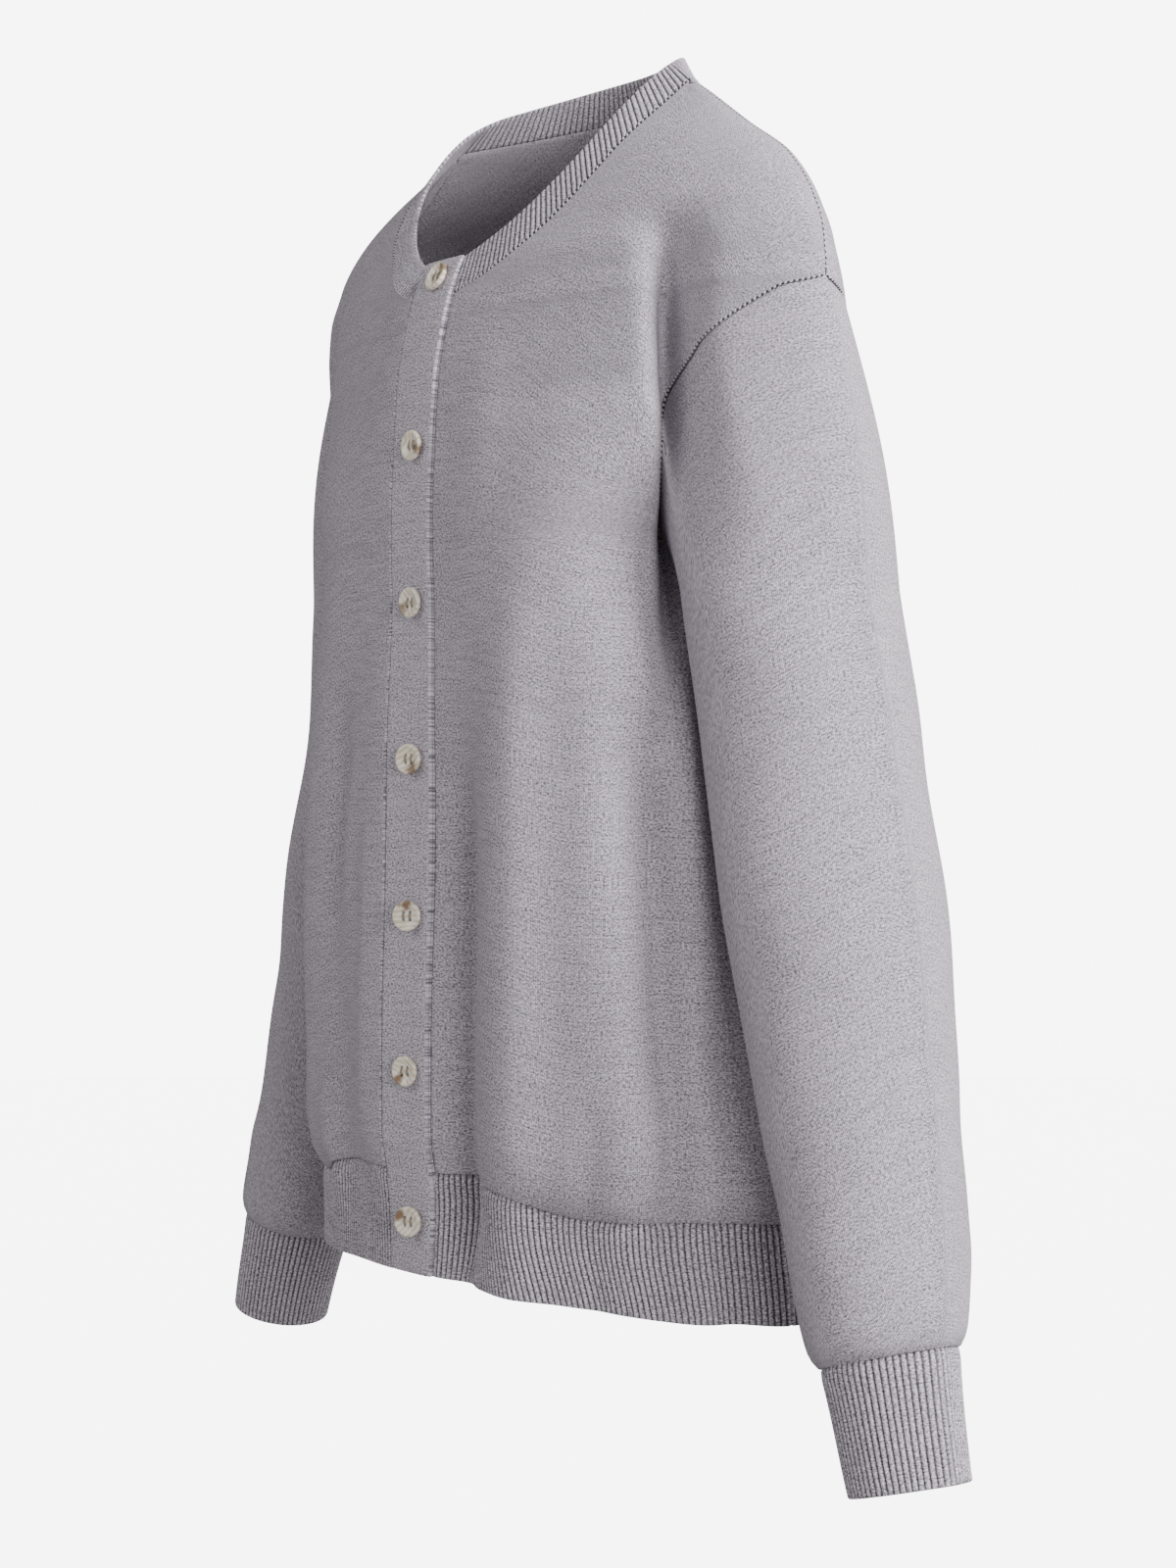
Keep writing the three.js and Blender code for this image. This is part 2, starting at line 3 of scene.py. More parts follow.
import bpy
import numpy as np
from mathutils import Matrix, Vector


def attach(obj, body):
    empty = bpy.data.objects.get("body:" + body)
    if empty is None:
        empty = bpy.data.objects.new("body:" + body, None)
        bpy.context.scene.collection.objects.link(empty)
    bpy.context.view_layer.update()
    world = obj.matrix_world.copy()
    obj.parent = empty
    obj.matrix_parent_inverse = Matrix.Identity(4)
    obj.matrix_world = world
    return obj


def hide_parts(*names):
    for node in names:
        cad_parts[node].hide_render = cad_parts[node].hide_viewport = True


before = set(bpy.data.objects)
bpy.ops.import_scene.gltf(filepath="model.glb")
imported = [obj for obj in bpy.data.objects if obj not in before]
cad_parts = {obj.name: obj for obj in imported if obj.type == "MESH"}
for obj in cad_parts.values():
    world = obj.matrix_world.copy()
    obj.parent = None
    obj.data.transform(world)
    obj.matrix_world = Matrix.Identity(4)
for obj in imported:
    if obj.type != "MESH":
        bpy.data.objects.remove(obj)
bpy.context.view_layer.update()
MM = 0.001

# ---- camera ----
# A level view from the wearer's left front, square to the middle of the garment's height.
camera = bpy.data.objects.new("camera", bpy.data.cameras.new("camera"))
camera.data.sensor_width = 36
camera.data.lens = 68.4
camera.location = (1.2369, -0.8661, -0.349)
camera.rotation_euler = (math.radians(90), 0, math.radians(55))
bpy.context.collection.objects.link(camera)
bpy.context.scene.camera = camera

# ---- the studio ----
# A pale cove of painted board under and round the garment, and large soft boxes: the
# strongest stands beside and a little behind the garment, a weaker one fills the front.


def linear(hex_colour):
    """An sRGB hex colour as linear RGBA."""
    parts = [int(hex_colour[k:k + 2], 16) / 255 for k in (0, 2, 4)]
    return [c / 12.92 if c <= 0.04045 else ((c + 0.055) / 1.055) ** 2.4 for c in parts] + [1]


def node(tree, kind, inputs=None, **settings):
    """A new node with its settings, and its inputs set to values or linked to sockets."""
    made = tree.nodes.new(kind)
    for key, value in settings.items():
        setattr(made, key, value)
    for socket, value in (inputs or {}).items():
        if isinstance(value, bpy.types.NodeSocket):
            tree.links.new(value, made.inputs[socket])
        else:
            made.inputs[socket].default_value = value
    return made


def maths(tree, operation, *values):
    """The result of a math node on one to three values or sockets."""
    return node(tree, "ShaderNodeMath", dict(enumerate(values)), operation=operation).outputs[0]


def ramp(tree, value, low, high, dark, light):
    """A colour that goes from dark to light between two values."""
    made = node(tree, "ShaderNodeValToRGB", {0: value})
    for stop, place, colour in zip(made.color_ramp.elements, (low, high), (dark, light)):
        stop.position = place
        stop.color = linear(colour)
    return made.outputs[0]


def mixed(tree, share, first, second, how="MIX"):
    """Two colours blended."""
    return node(tree, "ShaderNodeMix", {0: share, 6: first, 7: second},
                data_type="RGBA", blend_type=how).outputs[2]


def new_material(name, settings):
    """A material with one principled shader, and that shader."""
    made = bpy.data.materials.new(name)
    made.use_nodes = True
    made.node_tree.nodes.clear()
    shader = node(made.node_tree, "ShaderNodeBsdfPrincipled", settings)
    node(made.node_tree, "ShaderNodeOutputMaterial", {"Surface": shader.outputs[0]})
    return made, made.node_tree, shader


def give(mesh, name, values, kind="FLOAT"):
    """Write an attribute of the points of a mesh."""
    layer = mesh.attributes.new(name, kind, "POINT")
    layer.data.foreach_set("vector" if kind == "FLOAT_VECTOR" else "value", np.ravel(values))


def new_mesh(name, points, faces, material):
    """A mesh object at the origin from points in millimetres."""
    mesh = bpy.data.meshes.new(name)
    mesh.from_pydata((np.asarray(points) * MM).tolist(), [], [list(map(int, f)) for f in faces])
    mesh.materials.append(material)
    mesh.shade_smooth()
    made = bpy.data.objects.new(name, mesh)
    bpy.context.collection.objects.link(made)
    return made


board, _, _ = new_material("painted_board", {
    "Base Color": linear("f6f6f7"), "Roughness": 0.9, "Emission Color": (1, 1, 1, 1),
    "Emission Strength": 7.0,    # a board bright enough to show almost white
})
COVE = [   # the cove's section: distance from its middle and height, in millimetres
    (4200, -900), (4900, -760), (5400, -300), (5600, 400), (5600, 3600), (4400, 5200),
]
COVE_SIDES = 48
cove_turns = [2 * math.pi * k / COVE_SIDES for k in range(COVE_SIDES)]
cove_points = [(r * math.cos(a), r * math.sin(a), h) for r, h in COVE for a in cove_turns]
cove_faces = [(i * COVE_SIDES + k, i * COVE_SIDES + (k + 1) % COVE_SIDES,
               (i + 1) * COVE_SIDES + (k + 1) % COVE_SIDES, (i + 1) * COVE_SIDES + k)
              for i in range(len(COVE) - 1) for k in range(COVE_SIDES)]
cove_faces.append(tuple(range(COVE_SIDES)))
cove_faces.append(tuple(range(len(cove_points) - COVE_SIDES, len(cove_points))))
cove = new_mesh("studio_cove", cove_points, cove_faces, board)
cove.visible_diffuse = False    # the board is bright, but only the soft boxes light the garment
cove.visible_glossy = False
cove.visible_shadow = False

world = bpy.data.worlds.new("studio_air")
world.use_nodes = True
world.node_tree.nodes["Background"].inputs["Color"].default_value = (1, 1, 1, 1)
world.node_tree.nodes["Background"].inputs["Strength"].default_value = 0.34
bpy.context.scene.world = world
AIMED_AT = np.array([0, 0, -0.33])    # the garment's middle, in metres
SOFT_BOXES = [   # degrees round from the front, degrees up, distance and size in m, watts
    ("side_box", 102, 32, 1.9, 0.6, 58),
    ("near_box", 72, 4, 2.0, 0.7, 22),
    ("rim_box", 160, 24, 2.0, 1.2, 16),
    ("front_box", -20, 24, 2.2, 1.2, 12),
]
for name, round_degrees, up_degrees, distance, size, watts in SOFT_BOXES:
    lamp = bpy.data.lights.new(name, "AREA")
    lamp.size = size
    lamp.energy = watts
    box = bpy.data.objects.new(name, lamp)
    a, e = math.radians(round_degrees), math.radians(up_degrees)
    out = np.array([math.sin(a) * math.cos(e), -math.cos(a) * math.cos(e), math.sin(e)])
    box.location = (AIMED_AT + out * distance).tolist()
    box.rotation_mode = "QUATERNION"
    box.rotation_quaternion = Vector(out.tolist()).to_track_quat("Z", "Y")
    bpy.context.collection.objects.link(box)

# ---- back and fronts ----
# Fine single jersey, knitted from a heather-grey yarn and cut to shape. The two fronts and
# the back are linked at the shoulders and sides. Filled out, they follow level sections that
# widen over the bust and the hem, and hang in long soft folds from the bust down.

# Heights are millimetres from the shoulder mount, and below it they are negative.
WALL = 2.0
SEAM_TRIM = 0.95       # each edge keeps this far from the seam line, before it is rounded
RIDGE_Y = -15          # the side seams lie this far before the mount
PANEL_TOP = -17.5      # where the shoulder seam meets the neckband
BACK_TOP = -14.4
BACK_RISE_START = -60  # from here up the back's rows bend to the back neck's curve
SHOULDER_TIP = -120
UNDERARM = -240
FLOW_START = -478      # from here down the rows bend to the rib's upper edge
RIB_TOP = -537
BLOUSE_DROP = 13       # the rib's upper edge is this much lower away from the bands
HEM_BOTTOM = -587
HEM_SIDE_DIP = 8
BAND_HALF = 17
BAND_CLEAR = (14, 40)  # degrees from the centre front over which the drop and the bag begin
OVERLAP_LIFT = 2.3     # the right front and its band lie this far over the left
LIFT_START = -70
NECK_ROW = -110.4      # the level where the neckline leaves the bands
BODY = {   # half width, depth before and behind the ridge, squareness before and behind
    "z": [-4, -14, -20, -42, -61, -83, -100, -120, -138, -150, -165, -190, -216, -240, -261,
          -308, -393, -477, -518, -537, -552, -600],
    "half": [94, 106, 116, 150, 180, 198, 205, 207, 205, 200, 185, 158, 137, 126, 130,
             147, 157, 168, 178, 177, 178, 184],
    "front": [3, 8, 15, 37, 50, 63, 73, 80, 84, 86, 87, 88, 89, 89, 88,
              88, 89, 91, 91, 89, 88, 89],
    "back": [56, 61, 66, 78, 85, 91, 95, 99, 102, 104, 106, 108, 109, 109, 108,
             106, 104, 104, 105, 102, 101, 101],
    "front_square": [2.0, 2.1, 2.2, 2.3, 2.1, 1.9, 1.8, 1.7, 1.65, 1.7, 1.9, 2.7, 3.8, 4.5, 4.4,
                     4.0, 3.8, 3.0, 2.6, 2.3, 2.2, 2.0],
    "back_square": [1.5, 1.45, 1.4, 1.35, 1.35, 1.35, 1.4, 1.5, 1.6, 1.7, 2.0, 2.7, 3.6, 4.2, 4.2,
                    4.0, 3.8, 3.0, 2.6, 2.3, 2.2, 2.0],
}
ARMHOLE = {   # the armhole's edge, as degrees round the body from the ridge
    "z": [-240, -216, -190, -165, -150, -126, -120],
    "front": [0, 10, 23, 30, 31, 17, 0],
    "back": [0, 10, 21, 26, 27, 15, 0],
}
SLEEVE = {    # the sleeve's centre line and radius
    "z": [-240, -261, -327, -393, -460, -521, -575, -591, -598, -651, -660],
    "x": [171, 175, 188, 202, 218, 235, 251, 256, 258, 273, 275.6],
    "y": [-10, -10, -8, -8, -10, -13, -19, -21, -21.5, -23, -23],
    "radius": [43, 50.6, 51, 50.8, 47.5, 43, 38.5, 35.5, 31.5, 27.5, 27],
}
RIGHT_SLEEVE = {"z": [-150, -300, -400, -540, -655], "back": [0, 9, 5, 3, -2]}
RIGHT_NECK = {"narrow": 0.09, "start": -80, "full": -20, "edge_half": 80, "edge_front": 66}
PRESS = {"clear": 1.6, "soft": 6, "start": -237, "full": -256}
DEPTH_WEIGHT = 1.6
FOLDS = [     # from and to (degrees round from the wearer's left, height), rise, half width
    (-66, -300, -65, -618, -11, 14), (-106, -240, -106, -590, 3, 22), (-47, -200, -46, -680, 8, 18),
    (-22, -280, -14, -600, -13, 15), (-9, -400, -6, -700, -8, 13), (-132, -270, -131, -560, -6, 12),
    (-124, -300, -138, -600, 4, 12), (55, -300, 52, -560, -6, 24), (90, -330, 94, -640, 5, 28),
    (126, -310, 130, -560, -6, 24),
]
SMALL_FOLDS = [   # the same columns, for the finer drape between the large folds
    (-60, -420, -58, -640, 1.5, 8), (-30, -480, -28, -620, -1.6, 7), (-112, -330, -112, -545, 1.2, 9),
    (-145, -300, -146, -540, 1.5, 10), (20, -300, 22, -550, 2.2, 12), (70, -360, 72, -560, -2.2, 14),
    (108, -380, 110, -560, 2.0, 14), (150, -320, 148, -550, 2.2, 12), (-58, -120, -60, -300, 1.5, 16),
]
ARM_CREASE = {   # the cloth folds in before each sleeve: degrees from the side, depth, half width
    "z": [-78, -100, -125, -150, -175, -200, -220, -245, -285, -330, -375],
    "around": [15.0, 16.0, 16.0, 15.9, 15.2, 13.8, 12.0, 10.6, 12.8, 14.2, 15.0],
    "deep": [0, 14, 28, 36, 36, 34, 30, 22, 13, 6, 0],
    "width": [13, 9, 7.5, 6.8, 6.8, 6.8, 6.8, 7, 9, 11, 14],
}
BACK_CREASE = 0.4      # the crease behind each sleeve is this share of the one before it
FOLD_GAIN = 1.35
NECK = {"seam_half": 106, "edge_half": 92, "edge_front": 72, "edge_back": 50, "y": -14, "width": 19.5}
NECK_DROP = {"seam_side": -14, "seam_front": 98, "edge_front": 94, "seam_back": 9, "edge_back": 13}


def distances(run):
    """How far along a run each of its points lies."""
    return np.append(0, np.cumsum(np.linalg.norm(np.diff(run, axis=0), axis=1)))


def smooth(low, high, value):
    """A share that eases from 0 to 1 between two values."""
    t = np.clip((np.asarray(value, float) - low) / (high - low), 0, 1)
    return t * t * (3 - 2 * t)


def along(table, column, z):
    """A column of a table at any height, by a smooth curve through its rows."""
    order = np.argsort(table["z"])
    heights = np.array(table["z"], float)[order]
    values = np.array(table[column], float)[order]
    steps = np.diff(values) / np.diff(heights)
    slopes = np.zeros(len(values))
    both = steps[:-1] * steps[1:]
    total = np.where(both > 0, steps[:-1] + steps[1:], 1)
    slopes[1:-1] = np.where(both > 0, 2 * both / total, 0)
    z = np.clip(np.asarray(z, float), heights[0], heights[-1])
    k = np.clip(np.searchsorted(heights, z) - 1, 0, len(heights) - 2)
    span = heights[k + 1] - heights[k]
    t = (z - heights[k]) / span
    return ((2 * t**3 - 3 * t**2 + 1) * values[k] + (t**3 - 2 * t**2 + t) * span * slopes[k]
            + (3 * t**2 - 2 * t**3) * values[k + 1] + (t**3 - t**2) * span * slopes[k + 1])


def pressed(x, y, z):
    """The body yields where a sleeve rests against its side."""
    reach = 1 - smooth(PRESS["full"], PRESS["start"], z)
    radius = along(SLEEVE, "radius", z) + PRESS["clear"]
    offset = y - along(SLEEVE, "y", z) - np.where(x < 0, along(RIGHT_SLEEVE, "back", z), 0)
    inside = np.abs(offset) < radius
    limit = along(SLEEVE, "x", z) - np.sqrt(np.where(inside, radius**2 - offset**2, 0))
    over = np.abs(x) - limit
    push = reach * (over + np.hypot(over, PRESS["soft"])) / 2
    return np.where(inside & (reach > 0), np.sign(x) * (np.abs(x) - push), x)


def fold_rise(x, y, z):
    """How far the folds lift or sink the face at a point."""
    around = np.degrees(np.arctan2(y - RIDGE_Y, x))
    reach = np.radians(np.hypot(x, y - RIDGE_Y))
    rise = np.zeros(np.broadcast(x, y, z).shape)
    for start, top, end, bottom, height, width in FOLDS + SMALL_FOLDS:
        t = np.clip((z - top) / (bottom - top), 0, 1)
        off = (around - start - (end - start) * t) * reach / width
        rise = rise + (FOLD_GAIN * height * np.exp(-off * off)
                       * smooth(0, 0.3, t) * smooth(0, 0.22, 1 - t))
    side = np.where(np.asarray(x) < 0, 180 - np.abs(around), np.abs(around))
    off = (side - along(ARM_CREASE, "around", z)) * reach / along(ARM_CREASE, "width", z)
    deep = along(ARM_CREASE, "deep", z) * np.where(np.asarray(y) < RIDGE_Y, 1, BACK_CREASE)
    return rise - deep * np.exp(-off * off)


def body_point(z, angle, lift=0.0):
    """A point of the outer face. 0 is the wearer's left side, -90 the centre front."""
    z, angle = np.broadcast_arrays(np.asarray(z, float), np.asarray(angle, float))
    c, s = np.cos(np.radians(angle)), np.sin(np.radians(angle))
    before = s < 0
    power = 2 / np.where(before, along(BODY, "front_square", z), along(BODY, "back_square", z))
    depth = np.where(before, along(BODY, "front", z), along(BODY, "back", z))
    narrow = 1 - RIGHT_NECK["narrow"] * smooth(RIGHT_NECK["start"], RIGHT_NECK["full"], z)
    x = np.where(c < 0, narrow, 1) * along(BODY, "half", z) * np.sign(c) * np.abs(c) ** power
    y = RIDGE_Y + depth * np.sign(s) * np.abs(s) ** power
    out = fold_rise(x, y, z) + lift * smooth(LIFT_START, -BAND_HALF, x)
    flat = np.hypot(x, (y - RIDGE_Y) * DEPTH_WEIGHT)
    px, py = x + out * x / flat, y + out * (y - RIDGE_Y) * DEPTH_WEIGHT / flat
    return np.stack([pressed(px, py, z), py, z], axis=-1)


def body_normal(z, angle):
    """The direction the outer face looks in."""
    around = body_point(z, angle + 3) - body_point(z, angle - 3)
    up = body_point(z + 1.5, angle) - body_point(z, angle)
    across = np.cross(around, up)
    return across / np.linalg.norm(across, axis=-1, keepdims=True)


def front_angle(z, x):
    """The angle at which the front is this far to one side."""
    share = np.minimum(1, np.abs(x) / along(BODY, "half", z))
    angle = np.degrees(np.arccos(share ** (along(BODY, "front_square", z) / 2)))
    return np.where(x > 0, -angle, angle - 180)


def neck_half_width(z):
    t = np.clip((NECK_DROP["seam_side"] - z) / NECK_DROP["seam_front"], 0, 1)
    return NECK["seam_half"] * np.sqrt(np.maximum(0, 1 - t**1.6))


def back_neck_height(angle):
    rise = np.maximum(0, np.sin(np.radians(angle))) ** 1.2
    return NECK_DROP["seam_side"] + NECK_DROP["seam_back"] * rise


def from_front(angle):
    """Degrees from the centre front, either way."""
    return np.abs((angle + 90 + 540) % 360 - 180)


def rib_top(angle):
    return RIB_TOP - BLOUSE_DROP * smooth(*BAND_CLEAR, from_front(angle))


def hem_bottom(angle):
    return HEM_BOTTOM - HEM_SIDE_DIP * np.cos(np.radians(angle)) ** 2


def level_at(level, angle):
    """A row's height: level above, bent to the rib's upper edge below."""
    flow = (rib_top(angle) - FLOW_START) / (RIB_TOP - FLOW_START)
    return np.where(level >= FLOW_START, level, FLOW_START + (level - FLOW_START) * flow)


def armhole_angle(level, side):
    if not UNDERARM < level < SHOULDER_TIP:
        return 0.0
    return float(along(ARMHOLE, side, level))


def even_angles(level, start, end, columns, trims=(0, 0), height=level_at):
    """Even steps of a row along the cloth, as angles, with a length left off at each end."""
    angles = np.linspace(start, end, 361)
    length = distances(body_point(height(level, angles), angles))
    return np.interp(np.linspace(trims[0], length[-1] - trims[1], columns + 1), length, angles)


def grid_normals(points, closed):
    """Outward normals of a grid of points, whose columns may close into a ring."""
    if closed:
        around = np.roll(points, -1, axis=1) - np.roll(points, 1, axis=1)
    else:
        around = np.gradient(points, axis=1)
    across = np.cross(around, np.gradient(points, axis=0))
    return across / np.maximum(np.linalg.norm(across, axis=-1, keepdims=True), 1e-9)


ROUND_STEPS = 4        # facets in the half circle of a cloth edge


def cloth(name, points, material, closed=False, wall=WALL, knit=None, ribs=None):
    """A closed shell of cloth with rounded edges. The grid is its outer face, in millimetres.
    knit is the place of each point on the flat cloth in millimetres, and ribs its rib count."""
    count, wide = points.shape[:2]
    normals = grid_normals(points, closed)
    inner = points - normals * wall
    cells = np.arange(count * wide).reshape(count, wide)
    right = np.roll(cells, -1, axis=1) if closed else cells[:, 1:]
    left = cells if closed else cells[:, :-1]
    quads = np.stack([left[:-1], right[:-1], right[1:], left[1:]], axis=-1).reshape(-1, 4)
    faces = [quads, quads[:, ::-1] + count * wide]
    if closed:
        loops = [cells[0], cells[-1][::-1]]
        steps = [points[0] - points[1], (points[-1] - points[-2])[::-1]]
    else:
        edge = [cells[0, :-1], cells[:-1, -1], cells[-1, :0:-1], cells[:0:-1, 0]]
        loops = [np.concatenate(edge)]
        ways = np.zeros_like(points)
        for place, near in (((0,), (1,)), ((-1,), (-2,))):
            step = points[place] - points[near]
            ways[place] += step / np.linalg.norm(step, axis=-1, keepdims=True)
        for place, near in ((0, 1), (-1, -2)):
            step = points[:, place] - points[:, near]
            ways[:, place] += step / np.linalg.norm(step, axis=-1, keepdims=True)
        steps = [ways.reshape(-1, 3)[loops[0]]]
    flat_points, flat_normals = points.reshape(-1, 3), normals.reshape(-1, 3)
    all_points, sources = [flat_points, inner.reshape(-1, 3)], [np.arange(count * wide)] * 2
    total = 2 * count * wide
    for loop, step in zip(loops, steps):
        step = step / np.maximum(np.linalg.norm(step, axis=-1, keepdims=True), 1e-9)
        before = loop
        for k in range(1, ROUND_STEPS + 1):
            if k == ROUND_STEPS:
                now = loop + count * wide
            else:
                a = math.pi * k / ROUND_STEPS
                ring = flat_points[loop] + step * wall / 2 * math.sin(a)
                all_points.append(ring - flat_normals[loop] * wall / 2 * (1 - math.cos(a)))
                sources.append(loop)
                now = np.arange(total, total + len(loop))
                total += len(loop)
            follow, after = np.roll(before, -1), np.roll(now, -1)
            faces.append(np.stack([follow, before, now, after], axis=-1))
            before = now
    made = new_mesh(name, np.concatenate(all_points), np.concatenate(faces), material)
    source = np.concatenate(sources)
    mesh = made.data
    if knit is not None:
        place = knit.reshape(-1, 2)[source]
        give(mesh, "cloth", np.column_stack([place, np.zeros(len(place))]), "FLOAT_VECTOR")
    if ribs is not None:
        outer = np.zeros(len(source))
        outer[:count * wide] = 1
        give(mesh, "rib", ribs.ravel()[source])
        give(mesh, "outer", outer)
        give(mesh, "out", flat_normals[source], "FLOAT_VECTOR")
    return made


def flat_places(points, closed=False):
    """Each point's place on the flat cloth: millimetres across, and along the middle column."""
    if closed:
        points = np.concatenate([points, points[:, :1]], axis=1)
    across = np.linalg.norm(np.diff(points, axis=1), axis=-1)
    across = np.concatenate([np.zeros((len(points), 1)), np.cumsum(across, axis=1)], axis=1)
    across -= across[:, -1:] / 2
    up = np.linalg.norm(np.diff(points, axis=0), axis=-1)
    up = np.concatenate([np.zeros((1, points.shape[1])), np.cumsum(up, axis=0)])
    places = np.stack([across, up], axis=-1)
    return places[:, :-1] if closed else places


def knit_material(name, settings):
    """Jersey of a heather-grey yarn, dyed in the fibre: light and dark fibres spun together
    give a soft grey with fine flecks along the courses, dull and faintly hairy. The stitches
    are 1.1 mm wide on the real cloth and drawn coarser here, so that they show, and the
    grooves between their legs are darkened in the colour as painted shade."""
    made, tree, shader = new_material(name, {
        "Roughness": 0.95, "Specular IOR Level": 0.18, "Sheen Weight": settings["sheen"],
        "Sheen Roughness": 0.45, "Sheen Tint": linear("d9d5dc"),
    })
    place = node(tree, "ShaderNodeAttribute", attribute_name="cloth").outputs["Vector"]
    # flecks, longer along the course than across it
    colour = None
    for scale, stretch, low, high, dark, light in settings["flecks"]:
        spread = node(tree, "ShaderNodeVectorMath", {0: place, 1: stretch}, operation="MULTIPLY")
        noise = node(tree, "ShaderNodeTexNoise", {"Vector": spread.outputs[0], "Scale": scale,
                                                  "Detail": 3.0, "Roughness": 0.6})
        layer = ramp(tree, noise.outputs[0], low, high, dark, light)
        colour = layer if colour is None else mixed(tree, settings["mix"], colour, layer)
    # the knit itself: columns of V-shaped stitches, with painted shade darkening the colour in their
    # grooves
    parts = node(tree, "ShaderNodeSeparateXYZ", {0: place})
    wale = maths(tree, "DIVIDE", parts.outputs[0], settings["wale_mm"])
    part = maths(tree, "FRACT", wale)
    middle = maths(tree, "SUBTRACT", part, 0.5)
    side = maths(tree, "ABSOLUTE", middle)
    leg = maths(tree, "MULTIPLY", side, 2 * math.pi)
    leg = maths(tree, "SINE", leg)
    course = maths(tree, "DIVIDE", parts.outputs[1], settings["course_mm"])
    slant = maths(tree, "MULTIPLY_ADD", side, 1.5, course)
    wave = maths(tree, "MULTIPLY", slant, 2 * math.pi)
    wave = maths(tree, "COSINE", wave)
    wave = maths(tree, "MULTIPLY_ADD", wave, 0.35, 0.65)
    stitch = maths(tree, "MULTIPLY", leg, wave)
    # painted shade: the colour is darkened where the stitch pattern runs down into its grooves
    shade = node(tree, "ShaderNodeMapRange",
                 {0: stitch, 1: 0.0, 2: 0.8, 3: settings["painted_groove_shade"], 4: 1.0})
    finish = mixed(tree, 1.0, colour, shade.outputs[0], "MULTIPLY")
    if settings.get("rib_groove"):
        # the yarn between two ribs lies deep and takes little light
        rib = node(tree, "ShaderNodeAttribute", attribute_name="rib").outputs["Fac"]
        rib = maths(tree, "FRACT", rib)
        rib = maths(tree, "MULTIPLY_ADD", rib, 2.0, -1.0)
        rib = maths(tree, "ABSOLUTE", rib)
        deep = node(tree, "ShaderNodeMapRange",
                    {0: rib, 1: 0.45, 2: 0.95, 3: 1.0, 4: settings["rib_groove"]})
        finish = mixed(tree, 1.0, finish, deep.outputs[0], "MULTIPLY")
    tree.links.new(finish, shader.inputs["Base Color"])
    # loose fibres roughen the stitches
    fuzz = node(tree, "ShaderNodeTexNoise", {"Vector": place, "Scale": 1.6, "Detail": 4.0})
    height = maths(tree, "MULTIPLY_ADD", fuzz.outputs[0], 0.5, stitch)
    bump = node(tree, "ShaderNodeBump", {"Strength": settings["bump"], "Distance": 0.0006,
                                         "Height": height})
    tree.links.new(bump.outputs[0], shader.inputs["Normal"])
    return made


FLECKS = [   # noise scale, stretch, the ramp's ends, dark and light colour
    (0.95, (0.8, 1.3, 1), 0.37, 0.63, "5b5660", "f1e8f3"),
    (0.22, (0.22, 1.5, 1), 0.36, 0.64, "807a84", "c9c1cb"),
]
jersey = knit_material("heather_grey_jersey", {
    "sheen": 0.25, "flecks": FLECKS, "mix": 0.26, "wale_mm": 1.7, "course_mm": 1.9,
    "painted_groove_shade": 0.70, "bump": 0.55,
})

FRONT_COLUMNS = 96
BACK_COLUMNS = 170
PANEL_ROWS = {"body": 80, "armhole": 50, "yoke": 50}


def panel_levels(bottom, top):
    """Levels from the rib up, even at first and then set by the armhole's and yoke's curve."""
    lower = np.linspace(bottom, UNDERARM, PANEL_ROWS["body"], endpoint=False)
    steps = np.linspace(0, 1, PANEL_ROWS["armhole"])
    arm = UNDERARM + (SHOULDER_TIP - UNDERARM) * (steps + (1 - np.cos(np.pi * steps)) / 2) / 2
    rise = np.linspace(SHOULDER_TIP, top, PANEL_ROWS["yoke"])[1:]
    return np.concatenate([lower, arm, rise])


BAG = {"out": 4.2, "above": 11, "tall": 13, "in": 2.4, "seam": 4.5}


def blouse(points, levels, angles):
    """The body bags out a little over the rib, away from the bands, and draws in at its seam."""
    above = levels[:, None] - RIB_TOP
    bag = BAG["out"] * np.exp(-((above - BAG["above"]) / BAG["tall"]) ** 2)
    bag = bag - BAG["in"] * np.exp(-(above / BAG["seam"]) ** 2)
    bag = bag * smooth(*BAND_CLEAR, from_front(angles))
    return points + grid_normals(points, False) * bag[..., None]


UNDERLAP_GAP = 0.4     # the left front stands back a little from the upper band's edge


def front_grid(side):
    """A front's outer face. side is 1 for the wearer's left and -1 for the right."""
    lift = OVERLAP_LIFT if side < 0 else 0
    rows, turns = [], []
    levels = panel_levels(RIB_TOP + SEAM_TRIM, PANEL_TOP)
    for level in levels:
        inner = max(BAND_HALF, float(neck_half_width(level)))
        start = float(front_angle(level, inner))
        row = even_angles(level, start, -armhole_angle(level, "front"), FRONT_COLUMNS,
                          (SEAM_TRIM + (UNDERLAP_GAP if side > 0 else 0), SEAM_TRIM))
        angles = row if side > 0 else -180 - row
        rows.append(body_point(level_at(level, row), angles, lift))
        turns.append(angles)
    points, turns = np.array(rows), np.array(turns)
    if side < 0:
        points, turns = points[:, ::-1], turns[:, ::-1]
    return blouse(points, levels, turns)


def back_grid():
    """The back's outer face."""
    rows, turns = [], []
    levels = panel_levels(RIB_TOP + SEAM_TRIM, BACK_TOP)
    for level in levels:
        edge = armhole_angle(level, "back")
        share = float(smooth(BACK_RISE_START, BACK_TOP, level))

        def height(at, angle):
            rise = back_neck_height(angle) - NECK_DROP["seam_side"]
            return level_at(at, angle) + share * rise
        row = even_angles(level, edge, 180 - edge, BACK_COLUMNS, (SEAM_TRIM, SEAM_TRIM), height)
        rows.append(body_point(height(level, row), row))
        turns.append(row)
    return blouse(np.array(rows), levels, np.array(turns))


def dress(piece, nodes):
    """The calls that every piece of cloth ends with."""
    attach(piece, "root")
    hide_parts(*nodes)


